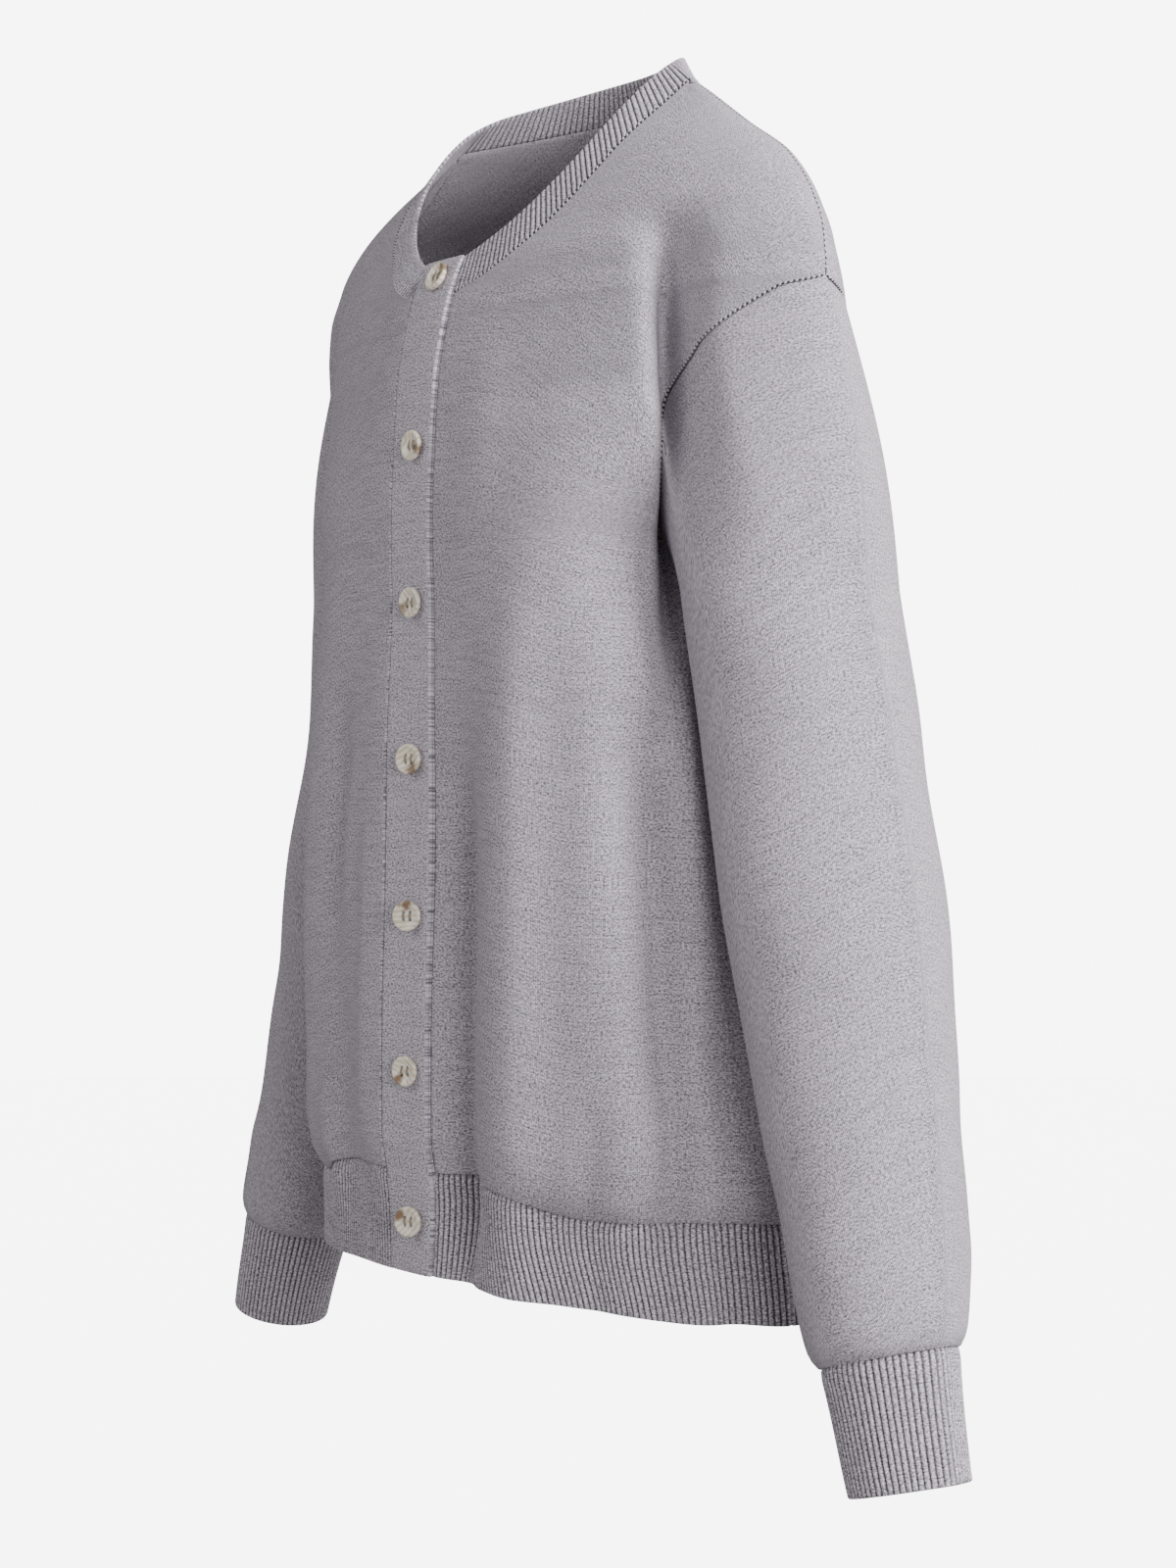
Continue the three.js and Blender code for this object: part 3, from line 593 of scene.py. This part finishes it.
for name, points, flat, area in (
    ("left_front", front_grid(1), (0.245, 0.540), 0.094),
    ("right_front", front_grid(-1), (0.245, 0.540), 0.094),
    ("back", back_grid(), (0.470, 0.590), 0.235),
):
    panel = cloth(name + "_cloth", points, jersey, knit=flat_places(points))
    dress(panel, [name])

# ---- sleeves ----
# Set-in sleeves of the same jersey, linked into the armholes. They hang straight beside the
# body, and a press line runs down the outermost side of each.

CREASE = {"rise": 2.5, "half": 16, "edge_rise": 1.6, "edge_half": 3.0}
SLEEVE_INSET = 0.6
SLEEVE_TUCK = 2.2      # the sleeve's head starts this far under the body's face
CROWN = {"swell": 4, "inner": 0.4}
ARMHOLE_AWAY = np.array([0.84, 0, -0.54]) * 0.45
SLEEVE_END = -597.5
CUFF_TOP = -597.9
CUFF_BOTTOM = -651
FIRST_RING = -261      # the first level ring, below the fan of rows that leaves the armhole
SLEEVE_COLUMNS = 192
SLEEVE_FOLDS = [   # turn, height, rise, half width in degrees, half height, slant (degrees a mm)
    (70, -330, -1.8, 26, 34, 0.25), (95, -395, 1.6, 30, 26, -0.2), (60, -455, -1.4, 30, 22, 0.3),
    (110, -500, 1.3, 34, 24, -0.3), (300, -350, -1.6, 30, 30, -0.25), (285, -430, 1.5, 30, 30, 0.2),
    (310, -510, -1.2, 30, 20, 0.2), (75, -552, 1.2, 34, 12, 0.3), (290, -560, 1.2, 34, 14, -0.3),
]


def sleeve_ring(z, turns, fine=1.0):
    """A level ring of the left sleeve. Turn 0 is outside, 90 in front, 180 inside."""
    z, turns = np.broadcast_arrays(np.asarray(z, float), np.asarray(turns, float))
    radius = along(SLEEVE, "radius", z)
    run = along(SLEEVE, "x", z - 12) - along(SLEEVE, "x", z + 12)
    tilt = np.arctan2(run, 24) * (1 - smooth(-420, FIRST_RING, z))
    off = np.minimum(turns % 360, 360 - turns % 360)
    r = radius + CREASE["rise"] * np.exp(-(off / CREASE["half"]) ** 2) - SLEEVE_INSET
    pressed_in = fine * smooth(CUFF_TOP + 4, -570, z)
    r = r + pressed_in * CREASE["edge_rise"] * np.exp(-(off / CREASE["edge_half"]) ** 2)
    for turn, height, rise, half, tall, slant in SLEEVE_FOLDS:
        middle = turn + slant * (z - height)
        r = r + fine * rise * np.exp(-((turns - middle) / half) ** 2 - ((z - height) / tall) ** 2)
    c = np.cos(np.radians(turns)) * r
    return np.stack([along(SLEEVE, "x", z) + c * np.cos(tilt),
                     along(SLEEVE, "y", z) - np.sin(np.radians(turns)) * r,
                     z + c * np.sin(tilt)], axis=-1)


def resampled(run, count, trims=(0, 0)):
    """Even points along a run, with a length left off at each end."""
    length = distances(run)
    even = np.linspace(trims[0], length[-1] - trims[1], count)
    return np.stack([np.interp(even, length, run[:, k]) for k in range(3)], axis=-1)


def armhole_loop():
    """The armhole's edge as a closed run of even points, down the front and up the back."""
    fine = np.linspace(0, 1, 200)
    levels = UNDERARM + (SHOULDER_TIP - UNDERARM) * fine
    front = np.array([body_point(z, -armhole_angle(z, "front")) for z in levels])[::-1]
    behind = np.array([body_point(z, armhole_angle(z, "back")) for z in levels])
    return np.concatenate([resampled(part, SLEEVE_COLUMNS // 2 + 1)[:-1] for part in (front, behind)])


arm_loop = armhole_loop()
sleeve_turns = np.linspace(0, 360, SLEEVE_COLUMNS, endpoint=False)
first_ring = sleeve_ring(FIRST_RING, sleeve_turns)
sleeve_out = np.stack([np.cos(np.radians(sleeve_turns)), -np.sin(np.radians(sleeve_turns)),
                       np.zeros(SLEEVE_COLUMNS)], axis=-1)
sleeve_bulge = np.maximum(0, sleeve_out[:, :1] + CROWN["inner"]) * CROWN["swell"]
fan_rows = []
for s in np.append(-0.03, np.linspace(0.0, 1, 46)):
    full = sleeve_out * sleeve_bulge * math.sin(math.pi * max(0, s))
    fan_rows.append(arm_loop * (1 - s) + first_ring * s + full + ARMHOLE_AWAY * (1 - s))
hidden = grid_normals(np.array(fan_rows[:3]), True)[0]     # the edge lies under the body's edge
fan_rows[0] = fan_rows[0] - hidden * SLEEVE_TUCK
fan_rows[1] = fan_rows[1] - hidden * SLEEVE_TUCK * 0.7
lower_rows = [sleeve_ring(z, sleeve_turns) for z in np.linspace(FIRST_RING - 3, SLEEVE_END + 1, 100)]
left_sleeve = np.array(fan_rows + lower_rows)


def mirrored(points):
    """The wearer's right side from the left: it hangs a little further back."""
    turned = points * np.array([-1, 1, 1])
    turned[..., 1] += along(RIGHT_SLEEVE, "back", points[..., 2])
    return turned[:, ::-1]


for name, points in (("left_sleeve", left_sleeve), ("right_sleeve", mirrored(left_sleeve))):
    sleeve = cloth(name + "_cloth", points, jersey, closed=True, knit=flat_places(points, True))
    dress(sleeve, [name])

# ---- hem rib, cuffs and neckband ----
# Narrow ribbing knitted from the same yarn and linked on: every second column of stitches
# stands up and the one between sinks into a dark groove. It draws the cloth in.

RIB_DEPTH = 1.2
RIB_PLATEAU = 3.0      # the higher, the flatter the ribs' tops
RIB_SAMPLES = 8
rib_knit = knit_material("heather_grey_rib", {
    "sheen": 0.25, "flecks": FLECKS, "mix": 0.2, "wale_mm": 1.5, "course_mm": 1.7,
    "painted_groove_shade": 0.88, "bump": 0.35, "rib_groove": 0.22,
})


def geometry_tree(name, named):
    """A geometry node tree with named inputs: the tree, its input node, and those inputs."""
    tree = bpy.data.node_groups.new(name, "GeometryNodeTree")
    tree.interface.new_socket("Geometry", in_out="INPUT", socket_type="NodeSocketGeometry")
    sockets = [tree.interface.new_socket(label, in_out="INPUT", socket_type="NodeSocket" + kind)
               for label, kind in named]
    tree.interface.new_socket("Geometry", in_out="OUTPUT", socket_type="NodeSocketGeometry")
    return tree, node(tree, "NodeGroupInput"), sockets


def named_value(tree, name, kind="FLOAT"):
    """A mesh's own attribute."""
    return node(tree, "GeometryNodeInputNamedAttribute", {"Name": name}, data_type=kind).outputs[0]


def end_tree(tree, geometry, finish):
    """Realize the instances, set the material and give the result."""
    real = node(tree, "GeometryNodeRealizeInstances", {0: geometry})
    finished = node(tree, "GeometryNodeSetMaterial", {"Geometry": real.outputs[0], "Material": finish})
    node(tree, "NodeGroupOutput", {0: finished.outputs[0]})


rib_tree, given, (rib_depth, rib_width, rib_finish) = geometry_tree(
    "ribbing", (("Rib Depth", "Float"), ("Plateau", "Float"), ("Finish", "Material")))
step = maths(rib_tree, "FRACT", named_value(rib_tree, "rib"))
step = maths(rib_tree, "MULTIPLY_ADD", step, 2.0, -1.0)
step = maths(rib_tree, "ABSOLUTE", step)
step = maths(rib_tree, "POWER", step, given.outputs["Plateau"])
sink = maths(rib_tree, "MULTIPLY", step, given.outputs["Rib Depth"])
sink = maths(rib_tree, "MULTIPLY", sink, named_value(rib_tree, "outer"))
sink = maths(rib_tree, "MULTIPLY", sink, -MM)
move = node(rib_tree, "ShaderNodeVectorMath",
            {0: named_value(rib_tree, "out", "FLOAT_VECTOR"), "Scale": sink}, operation="SCALE")
moved = node(rib_tree, "GeometryNodeSetPosition",
             {"Geometry": given.outputs["Geometry"], "Offset": move.outputs[0]})
end_tree(rib_tree, moved.outputs[0], given.outputs["Finish"])


def baked(piece, tree, values):
    """The piece with a node tree's result as its plain mesh. values are (socket, value)."""
    modifier = piece.modifiers.new(tree.name, "NODES")
    modifier.node_group = tree
    for socket, value in values:
        modifier[socket.identifier] = value
    graph = bpy.context.evaluated_depsgraph_get()
    result = bpy.data.meshes.new_from_object(piece.evaluated_get(graph))
    piece.modifiers.remove(modifier)
    piece.data = result
    return piece


def ribbed(name, points, closed, ribs_across):
    """A piece of ribbing from its outer face, with that many ribs across."""
    columns = points.shape[1] - (0 if closed else 1)
    ribs = np.broadcast_to(0.5 + np.arange(points.shape[1]) * ribs_across / columns, points.shape[:2])
    piece = cloth(name + "_knit", points, rib_knit, closed=closed, knit=flat_places(points, closed),
                  ribs=ribs)
    baked(piece, rib_tree, ((rib_depth, RIB_DEPTH), (rib_width, RIB_PLATEAU), (rib_finish, rib_knit)))
    dress(piece, [name])


TUCK = 2.4             # the rib's head is tucked in behind the body
TUCKED_SHARES = np.linspace(0.02, 1.10, 16)
HEM_START = {0: 0, 1: -0.8, -1: -1.3}    # the front runs reach a little under the band's edge


def hem_grid(side, ribs):
    """A run of the hem rib. side is 1 for the left front, -1 for the right and 0 for the back."""
    columns = ribs * RIB_SAMPLES
    rows = []
    for share in TUCKED_SHARES:

        def height(at, angle):
            return hem_bottom(angle) + (rib_top(angle) - hem_bottom(angle)) * at
        start = 0.0 if side == 0 else float(front_angle(float(height(share, -90.0)), BAND_HALF))
        row = even_angles(share, start, 180.0 if side == 0 else 0.0, columns,
                          (SEAM_TRIM + HEM_START[side], SEAM_TRIM), height)
        angles = -180 - row if side < 0 else row
        lift = OVERLAP_LIFT if side < 0 else 0
        rows.append(body_point(height(share, row), angles, lift))
    points = np.array(rows)
    if side < 0:
        points = points[:, ::-1]
    inward = TUCK * smooth(0.92, 1.02, TUCKED_SHARES)[:, None, None]
    return points - grid_normals(points, False) * inward


ribbed("hem_rib_left", hem_grid(1, 71), False, 71)
ribbed("hem_rib_right", hem_grid(-1, 71), False, 71)
ribbed("hem_rib_back", hem_grid(0, 140), False, 140)

CUFF_RIBS = 62
cuff_turns = np.linspace(0, 360, CUFF_RIBS * RIB_SAMPLES, endpoint=False)
cuff_heights = np.linspace(CUFF_TOP + 4, CUFF_BOTTOM + 1, 15)
left_cuff = np.array([sleeve_ring(min(z, CUFF_TOP), cuff_turns, 0.0) for z in cuff_heights])
left_cuff[..., 2] += np.maximum(0, cuff_heights - CUFF_TOP)[:, None]
tucked_in = TUCK * smooth(CUFF_TOP - 1, CUFF_TOP + 2, cuff_heights)[:, None, None]
left_cuff = left_cuff - grid_normals(left_cuff, True) * tucked_in
for name, points in (("left_cuff", left_cuff), ("right_cuff", mirrored(left_cuff))):
    ribbed(name, points, True, CUFF_RIBS)


def neck_edge_target(p):
    """Where the neckband's free edge leans to, for each point of its seam."""
    right = p[..., 0] < 0
    seam_half = NECK["seam_half"] * np.where(right, 1 - RIGHT_NECK["narrow"], 1)
    edge_half = np.where(right, RIGHT_NECK["edge_half"], NECK["edge_half"])
    edge_front = np.where(right, RIGHT_NECK["edge_front"], NECK["edge_front"])
    c = np.clip(p[..., 0] / seam_half, -1, 1)
    s = np.sqrt(1 - c * c)
    share = (np.abs(p[..., 0]) - BAND_HALF) / (seam_half - BAND_HALF)
    x = np.sign(p[..., 0]) * (BAND_HALF + (edge_half - BAND_HALF) * share)
    before = np.stack([x, NECK["y"] - edge_front * s, -NECK_DROP["edge_front"] * s**1.45], axis=-1)
    behind = (1 - np.abs(c) ** 1.5) ** (2 / 3)
    after = np.stack([edge_half * c, NECK["y"] + NECK["edge_back"] * behind,
                      NECK_DROP["edge_back"] * s**1.5], axis=-1)
    return np.where((p[..., 1] < NECK["y"])[..., None], before, after)


def neck_run(side):
    """The neckline on one front, from the band up to the shoulder seam."""
    levels = np.linspace(NECK_ROW, PANEL_TOP, 160)
    angles = front_angle(levels, np.maximum(BAND_HALF, neck_half_width(levels)))
    lift = OVERLAP_LIFT if side < 0 else 0
    return body_point(levels, angles if side > 0 else -180 - angles, lift)


back_turns = np.linspace(0.4, 179.6, 240)
neck_seam = np.concatenate([neck_run(1), body_point(back_neck_height(back_turns), back_turns),
                            neck_run(-1)[::-1]])


def softened(run, reach):
    """A run of points with its corners eased over that many points each way."""
    weights = np.exp(-(np.arange(-2 * reach, 2 * reach + 1) / reach) ** 2)
    weights = weights / weights.sum()
    ends = 2 * reach
    longer = np.concatenate([2 * run[:1] - run[ends:0:-1], run, 2 * run[-1:] - run[-2:-ends - 2:-1]])
    return np.stack([np.convolve(longer[:, k], weights, "valid") for k in range(3)], axis=-1)


NECK_RIBS = 158
LEAN_REACH = 60
EDGE_REACH = 55
neck_foot = resampled(neck_seam, NECK_RIBS * RIB_SAMPLES + 1, (SEAM_TRIM, SEAM_TRIM))
neck_lean = neck_edge_target(neck_foot) - neck_foot
neck_lean = neck_lean / np.linalg.norm(neck_lean, axis=-1, keepdims=True)
neck_lean = softened(neck_lean, LEAN_REACH)
neck_lean = neck_lean / np.linalg.norm(neck_lean, axis=-1, keepdims=True)
neck_edge = softened(neck_foot + neck_lean * (NECK["width"] - 1), EDGE_REACH)
neck_rows = [neck_foot * (1 - share) + neck_edge * share for share in np.linspace(0.04, 1, 10)]
ribbed("neckband", np.array(neck_rows), False, NECK_RIBS)

# ---- button and buttonhole bands ----
# Two strips of plain knit, 34 mm wide and the full height of the front edges. The wearer's
# right one, with the buttonholes, lies over the left one, which carries the buttons.

band_knit = knit_material("heather_grey_plain_band", {
    "sheen": 0.22, "flecks": FLECKS, "mix": 0.22, "wale_mm": 1.5, "course_mm": 1.6,
    "painted_groove_shade": 0.86, "bump": 0.3,
})
BAND_TOP = -92.5
BAND_COLUMNS = 16


def band_grid(lift):
    """A band's outer face, lifted off the body's."""
    half = BAND_HALF - SEAM_TRIM
    heights = np.linspace(HEM_BOTTOM + 1, BAND_TOP - 1, 200)[:, None]
    across = np.linspace(-half, half, BAND_COLUMNS + 1)[None]
    heights, across = np.broadcast_arrays(heights, across)
    angles = front_angle(heights, across)
    return body_point(heights, angles) + body_normal(heights, angles) * lift


for name, lift in (("button_band", 0.0), ("buttonhole_band", OVERLAP_LIFT)):
    points = band_grid(lift)
    band = cloth(name + "_knit", points, band_knit, knit=flat_places(points))
    dress(band, [name])

# ---- linking stitches ----
# Each seam is closed by a row of chain stitches in the same yarn. They lie along the seam
# line as small slanting loops; the eye between two of them is shade, painted as a dark bead.

STITCH = {"spacing": 2.6, "length": 2.2, "width": 1.0, "height": 1.1, "start": 0.5}
EYELET = {"spacing": 2.6, "length": 1.5, "width": 1.0, "height": 1.2, "start": 0.02}
EYELET_SLANT = 0.2
EYELET_SINK = 0.15
# painted shade: a near-black colour for the beads in the eyes, where the real yarn is only shaded
eyelet_shade_paint, _, _ = new_material("yarn_in_the_eyelets", {
    "Base Color": linear("3d3a40"), "Roughness": 0.95, "Specular IOR Level": 0.1,
})
link_yarn, _, _ = new_material("linking_yarn", {
    "Base Color": linear("b4afb7"), "Roughness": 0.95, "Specular IOR Level": 0.15,
    "Sheen Weight": 0.2,
})
stitch_tree, given, (stitch_size, stitch_slant, stitch_yarn) = geometry_tree(
    "linking_stitches", (("Stitch Size", "Vector"), ("Slant", "Float"), ("Yarn", "Material")))
bead = node(stitch_tree, "GeometryNodeMeshUVSphere", {"Segments": 8, "Rings": 4, "Radius": 0.5})
turn = node(stitch_tree, "FunctionNodeAlignRotationToVector",
            {"Vector": named_value(stitch_tree, "out", "FLOAT_VECTOR")}, axis="Z")
turn = node(stitch_tree, "FunctionNodeAlignRotationToVector",
            {"Rotation": turn.outputs[0], "Vector": named_value(stitch_tree, "way", "FLOAT_VECTOR")},
            axis="X", pivot_axis="Z")
lean = node(stitch_tree, "ShaderNodeCombineXYZ", {2: given.outputs["Slant"]})
turn = node(stitch_tree, "FunctionNodeRotateRotation",
            {"Rotation": turn.outputs[0], "Rotate By": lean.outputs[0]}, rotation_space="LOCAL")
rows = node(stitch_tree, "GeometryNodeInstanceOnPoints",
            {"Points": given.outputs["Geometry"], "Instance": bead.outputs[0],
             "Rotation": turn.outputs[0], "Scale": given.outputs["Stitch Size"]})
end_tree(stitch_tree, rows.outputs[0], given.outputs["Yarn"])


def stitched(name, run, normals, sink, size=STITCH, slant=0.5, yarn=link_yarn):
    """A row of linking stitches along a run of points, sunk a little under the face."""
    length = distances(run)
    count = int(length[-1] / size["spacing"])
    even = (np.arange(count) + size["start"]) * length[-1] / count
    places = np.stack([np.interp(even, length, run[:, k]) for k in range(3)], axis=-1)
    out = np.stack([np.interp(even, length, normals[:, k]) for k in range(3)], axis=-1)
    out = out / np.linalg.norm(out, axis=-1, keepdims=True)
    way = np.gradient(places, axis=0)
    made = new_mesh(name, places - out * sink, [], yarn)
    give(made.data, "out", out, "FLOAT_VECTOR")
    give(made.data, "way", way, "FLOAT_VECTOR")
    scale = tuple(size[k] * MM for k in ("length", "width", "height"))
    baked(made, stitch_tree, ((stitch_size, scale), (stitch_slant, slant), (stitch_yarn, yarn)))
    made.data.shade_smooth()
    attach(made, "root")



def linked(name, run, normals, sink, slant=0.5):
    """A row of stitches, and dark beads between them that are painted shade in the eyes."""
    stitched(name, run, normals, sink, slant=slant)
    stitched(name + "_eyelets", run, normals, sink + EYELET_SINK, EYELET, EYELET_SLANT, eyelet_shade_paint)


neck_normals = grid_normals(np.array(neck_rows), False)[0]
linked("neckband_linking", neck_foot + neck_lean * 0.1, neck_normals, 0.1, slant=0.9)
shoulder_levels = np.linspace(SHOULDER_TIP + 1, PANEL_TOP - 1, 120)
side_levels = np.linspace(RIB_TOP - BLOUSE_DROP + 1, UNDERARM - 2, 200)
for name, angle in (("left", 0.0), ("right", -180.0)):
    for seam, levels, sink in (("_shoulder_linking", shoulder_levels, 0.2),
                               ("_side_linking", side_levels, 0.9)):
        turns = np.full(len(levels), angle)
        linked(name + seam, body_point(levels, angle), body_normal(levels, turns), sink)
loop_closed = np.concatenate([arm_loop, arm_loop[:1]])
loop_out = grid_normals(left_sleeve[:3], True)[0]
loop_out = np.concatenate([loop_out, loop_out[:1]])
for name, side in (("left", 1), ("right", -1)):
    run, out = loop_closed.copy(), loop_out.copy()
    if side < 0:
        run[:, 0] *= -1
        run[:, 1] += along(RIGHT_SLEEVE, "back", run[:, 2])
        out[:, 0] *= -1
    linked(name + "_armhole_linking", run, out, 0.25)

# ---- buttons ----
# Seven four-hole buttons turned from horn: ivory, polished, with a brown patch at the rim
# that differs from one to the next. Each is sewn on with a few turns of grey-brown thread.

BUTTON = {"radius": 7.5, "hole": 0.95, "offset": 1.75, "x": 4, "clear": 0.35}
BUTTON_SIDES = 64
HOLE_SIDES = 20
STRAND = {"radius": 0.28, "foot": 1.75, "sag": 1.0, "steps": 10, "sides": 8}
PATCH_REACH = 5.6      # the brown patch's middle, from the button's own
BUTTONS = [   # height, degrees turned to the wearer's left, the clock angle of its brown patch
    (-103, 0, 40), (-185, 3, -20), (-261, 8, 215), (-337, 13, -60), (-413, 18, 95),
    (-488, 9, 235), (-561, 20, 140),
]
BUTTON_FACE = [   # a turned profile: distance from the axis, height over the back
    (1.2, 1.75), (2.9, 1.82), (4.2, 2.05), (5.2, 2.55), (5.9, 2.95), (6.5, 3.1),
    (7.0, 3.0), (7.35, 2.6), (7.5, 2.0), (7.4, 1.3), (6.9, 0.55), (6.0, 0.15), (4.5, 0.0),
]
horn, horn_tree, horn_shader = new_material("polished_horn", {
    "Roughness": 0.28, "Specular IOR Level": 0.5, "IOR": 1.54, "Coat Weight": 0.25,
    "Coat Roughness": 0.15, "Subsurface Weight": 0.12, "Subsurface Scale": 0.002,
})
face_place = node(horn_tree, "ShaderNodeAttribute", attribute_name="face_mm").outputs["Vector"]
clouds = node(horn_tree, "ShaderNodeTexNoise", {"Vector": face_place, "Scale": 0.22, "Detail": 3.0,
                                                "Distortion": 0.8})
streaks = node(horn_tree, "ShaderNodeTexWave", {"Vector": face_place, "Scale": 0.12, "Distortion": 5.0,
                                                "Detail": 2.0})
grain = node(horn_tree, "ShaderNodeMix", {0: 0.35, 2: clouds.outputs[0], 3: streaks.outputs["Fac"]})
ivory = ramp(horn_tree, grain.outputs[0], 0.3, 0.62, "cfc0a6", "efe7d8")
level_face = node(horn_tree, "ShaderNodeVectorMath", {0: face_place, 1: (1, 1, 0)},
                  operation="MULTIPLY")
reach = node(horn_tree, "ShaderNodeVectorMath", {0: level_face.outputs[0], 1: (PATCH_REACH, 0, 0)},
             operation="DISTANCE")
ragged = maths(horn_tree, "MULTIPLY_ADD", clouds.outputs[0], 5.0, reach.outputs["Value"])
patch = node(horn_tree, "ShaderNodeMapRange", {0: ragged, 1: 4.6, 2: 6.6, 3: 0.92, 4: 0.0})
brown = mixed(horn_tree, patch.outputs[0], ivory, linear("7d5f42"))
horn_tree.links.new(brown, horn_shader.inputs["Base Color"])
thread, _, _ = new_material("sewing_thread", {
    "Base Color": linear("8b8378"), "Roughness": 0.7, "Sheen Weight": 0.2,
})


def button_mesh():
    """A turned disc with its four holes bored through, in millimetres, facing +Z."""
    sides, rings = BUTTON_SIDES, len(BUTTON_FACE)
    points, faces = [], []
    for radius, height in BUTTON_FACE:
        for k in range(sides):
            a = 2 * math.pi * k / sides
            points.append((radius * math.cos(a), radius * math.sin(a), height))
    for i in range(rings - 1):
        for k in range(sides):
            j = (k + 1) % sides
            faces.append((i * sides + j, i * sides + k, (i + 1) * sides + k, (i + 1) * sides + j))
    faces.append(tuple(range(sides)))
    faces.append(tuple((rings - 1) * sides + k for k in range(sides))[::-1])
    disc = new_mesh("button_disc", points, faces, horn)
    cutters = []
    for sx, sy in ((1, 1), (-1, 1), (-1, -1), (1, -1)):
        ring = [(sx * BUTTON["offset"] + BUTTON["hole"] * math.cos(2 * math.pi * k / HOLE_SIDES),
                 sy * BUTTON["offset"] + BUTTON["hole"] * math.sin(2 * math.pi * k / HOLE_SIDES))
                for k in range(HOLE_SIDES)]
        posts = [(x, y, z) for z in (-1, 5) for x, y in ring]    # through the disc and beyond
        walls = [(k, (k + 1) % HOLE_SIDES, HOLE_SIDES + (k + 1) % HOLE_SIDES, HOLE_SIDES + k)
                 for k in range(HOLE_SIDES)]
        walls += [tuple(range(HOLE_SIDES))[::-1], tuple(range(HOLE_SIDES, 2 * HOLE_SIDES))]
        cutter = new_mesh("button_drill", posts, walls, horn)
        bore = disc.modifiers.new("bore", "BOOLEAN")
        bore.operation = "DIFFERENCE"
        bore.solver = "EXACT"
        bore.object = cutter
        cutters.append(cutter)
    graph = bpy.context.evaluated_depsgraph_get()
    result = bpy.data.meshes.new_from_object(disc.evaluated_get(graph))
    for spare in [disc] + cutters:
        bpy.data.objects.remove(spare)
    verts = np.array([v.co for v in result.vertices]) / MM
    loops = [tuple(p.vertices) for p in result.polygons]
    return verts, loops


disc_points, disc_faces = button_mesh()


def thread_mesh(start, end):
    """A short round strand from one hole to another, standing up in the middle."""
    points, faces = [], []
    steps, sides, radius = STRAND["steps"], STRAND["sides"], STRAND["radius"]
    line = np.array(end) - np.array(start)
    across = np.array([-line[1], line[0], 0]) / np.linalg.norm(line)
    for i in range(steps + 1):
        t = i / steps
        rise = np.array([0, 0, STRAND["sag"] * (math.sin(math.pi * t) ** 0.5) - 0.5])
        for k in range(sides):
            a = 2 * math.pi * k / sides
            off = across * radius * math.cos(a) + np.array([0, 0, radius * math.sin(a)])
            points.append(np.array(start) + line * t + rise + off)
    for i in range(steps):
        for k in range(sides):
            j = (k + 1) % sides
            faces.append((i * sides + k, i * sides + j, (i + 1) * sides + j, (i + 1) * sides + k))
    faces.append(tuple(range(sides))[::-1])
    faces.append(tuple(steps * sides + k for k in range(sides)))
    return np.array(points), faces


strand_points, strand_faces = [], []
for sx in (-1, 1):
    for shift in (-STRAND["radius"], STRAND["radius"]):
        x, y = sx * BUTTON["offset"] + shift, BUTTON["offset"]
        turn_points, turn_faces = thread_mesh((x, -y, STRAND["foot"]), (x, y, STRAND["foot"]))
        base = sum(len(p) for p in strand_points)
        strand_points.append(turn_points)
        strand_faces += [tuple(base + v for v in f) for f in turn_faces]
strand_points = np.concatenate(strand_points)

for number, (z, turn, clock) in enumerate(BUTTONS, 1):
    angle = float(front_angle(float(z), BUTTON["x"]))
    base = body_point(float(z), angle)
    out = body_normal(np.float64(z), angle)
    raised = BUTTON["radius"] * math.sin(math.radians(turn))
    seat = base + out * (OVERLAP_LIFT + BUTTON["clear"] + raised)
    a = math.radians(turn)
    facing = np.array([out[0] * math.cos(a) - out[1] * math.sin(a),
                       out[0] * math.sin(a) + out[1] * math.cos(a), out[2]])
    side = np.cross(np.array([0, 0, 1.0]), facing)
    side = side / np.linalg.norm(side)
    up = np.cross(facing, side)
    basis = np.stack([side, up, facing])
    piece = new_mesh(f"button_{number}_horn", disc_points @ basis + seat, disc_faces, horn)
    spin = math.radians(clock)
    local = disc_points @ np.array([[math.cos(spin), -math.sin(spin), 0],
                                    [math.sin(spin), math.cos(spin), 0], [0, 0, 1]])
    give(piece.data, "face_mm", local + np.array([0, 0, 11.0 * number]), "FLOAT_VECTOR")
    piece.data.set_sharp_from_angle(angle=math.radians(40))
    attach(piece, "root")
    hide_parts(f"button_{number}")
    strands = new_mesh(f"button_{number}_thread", strand_points @ basis + seat, strand_faces, thread)
    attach(strands, "root")
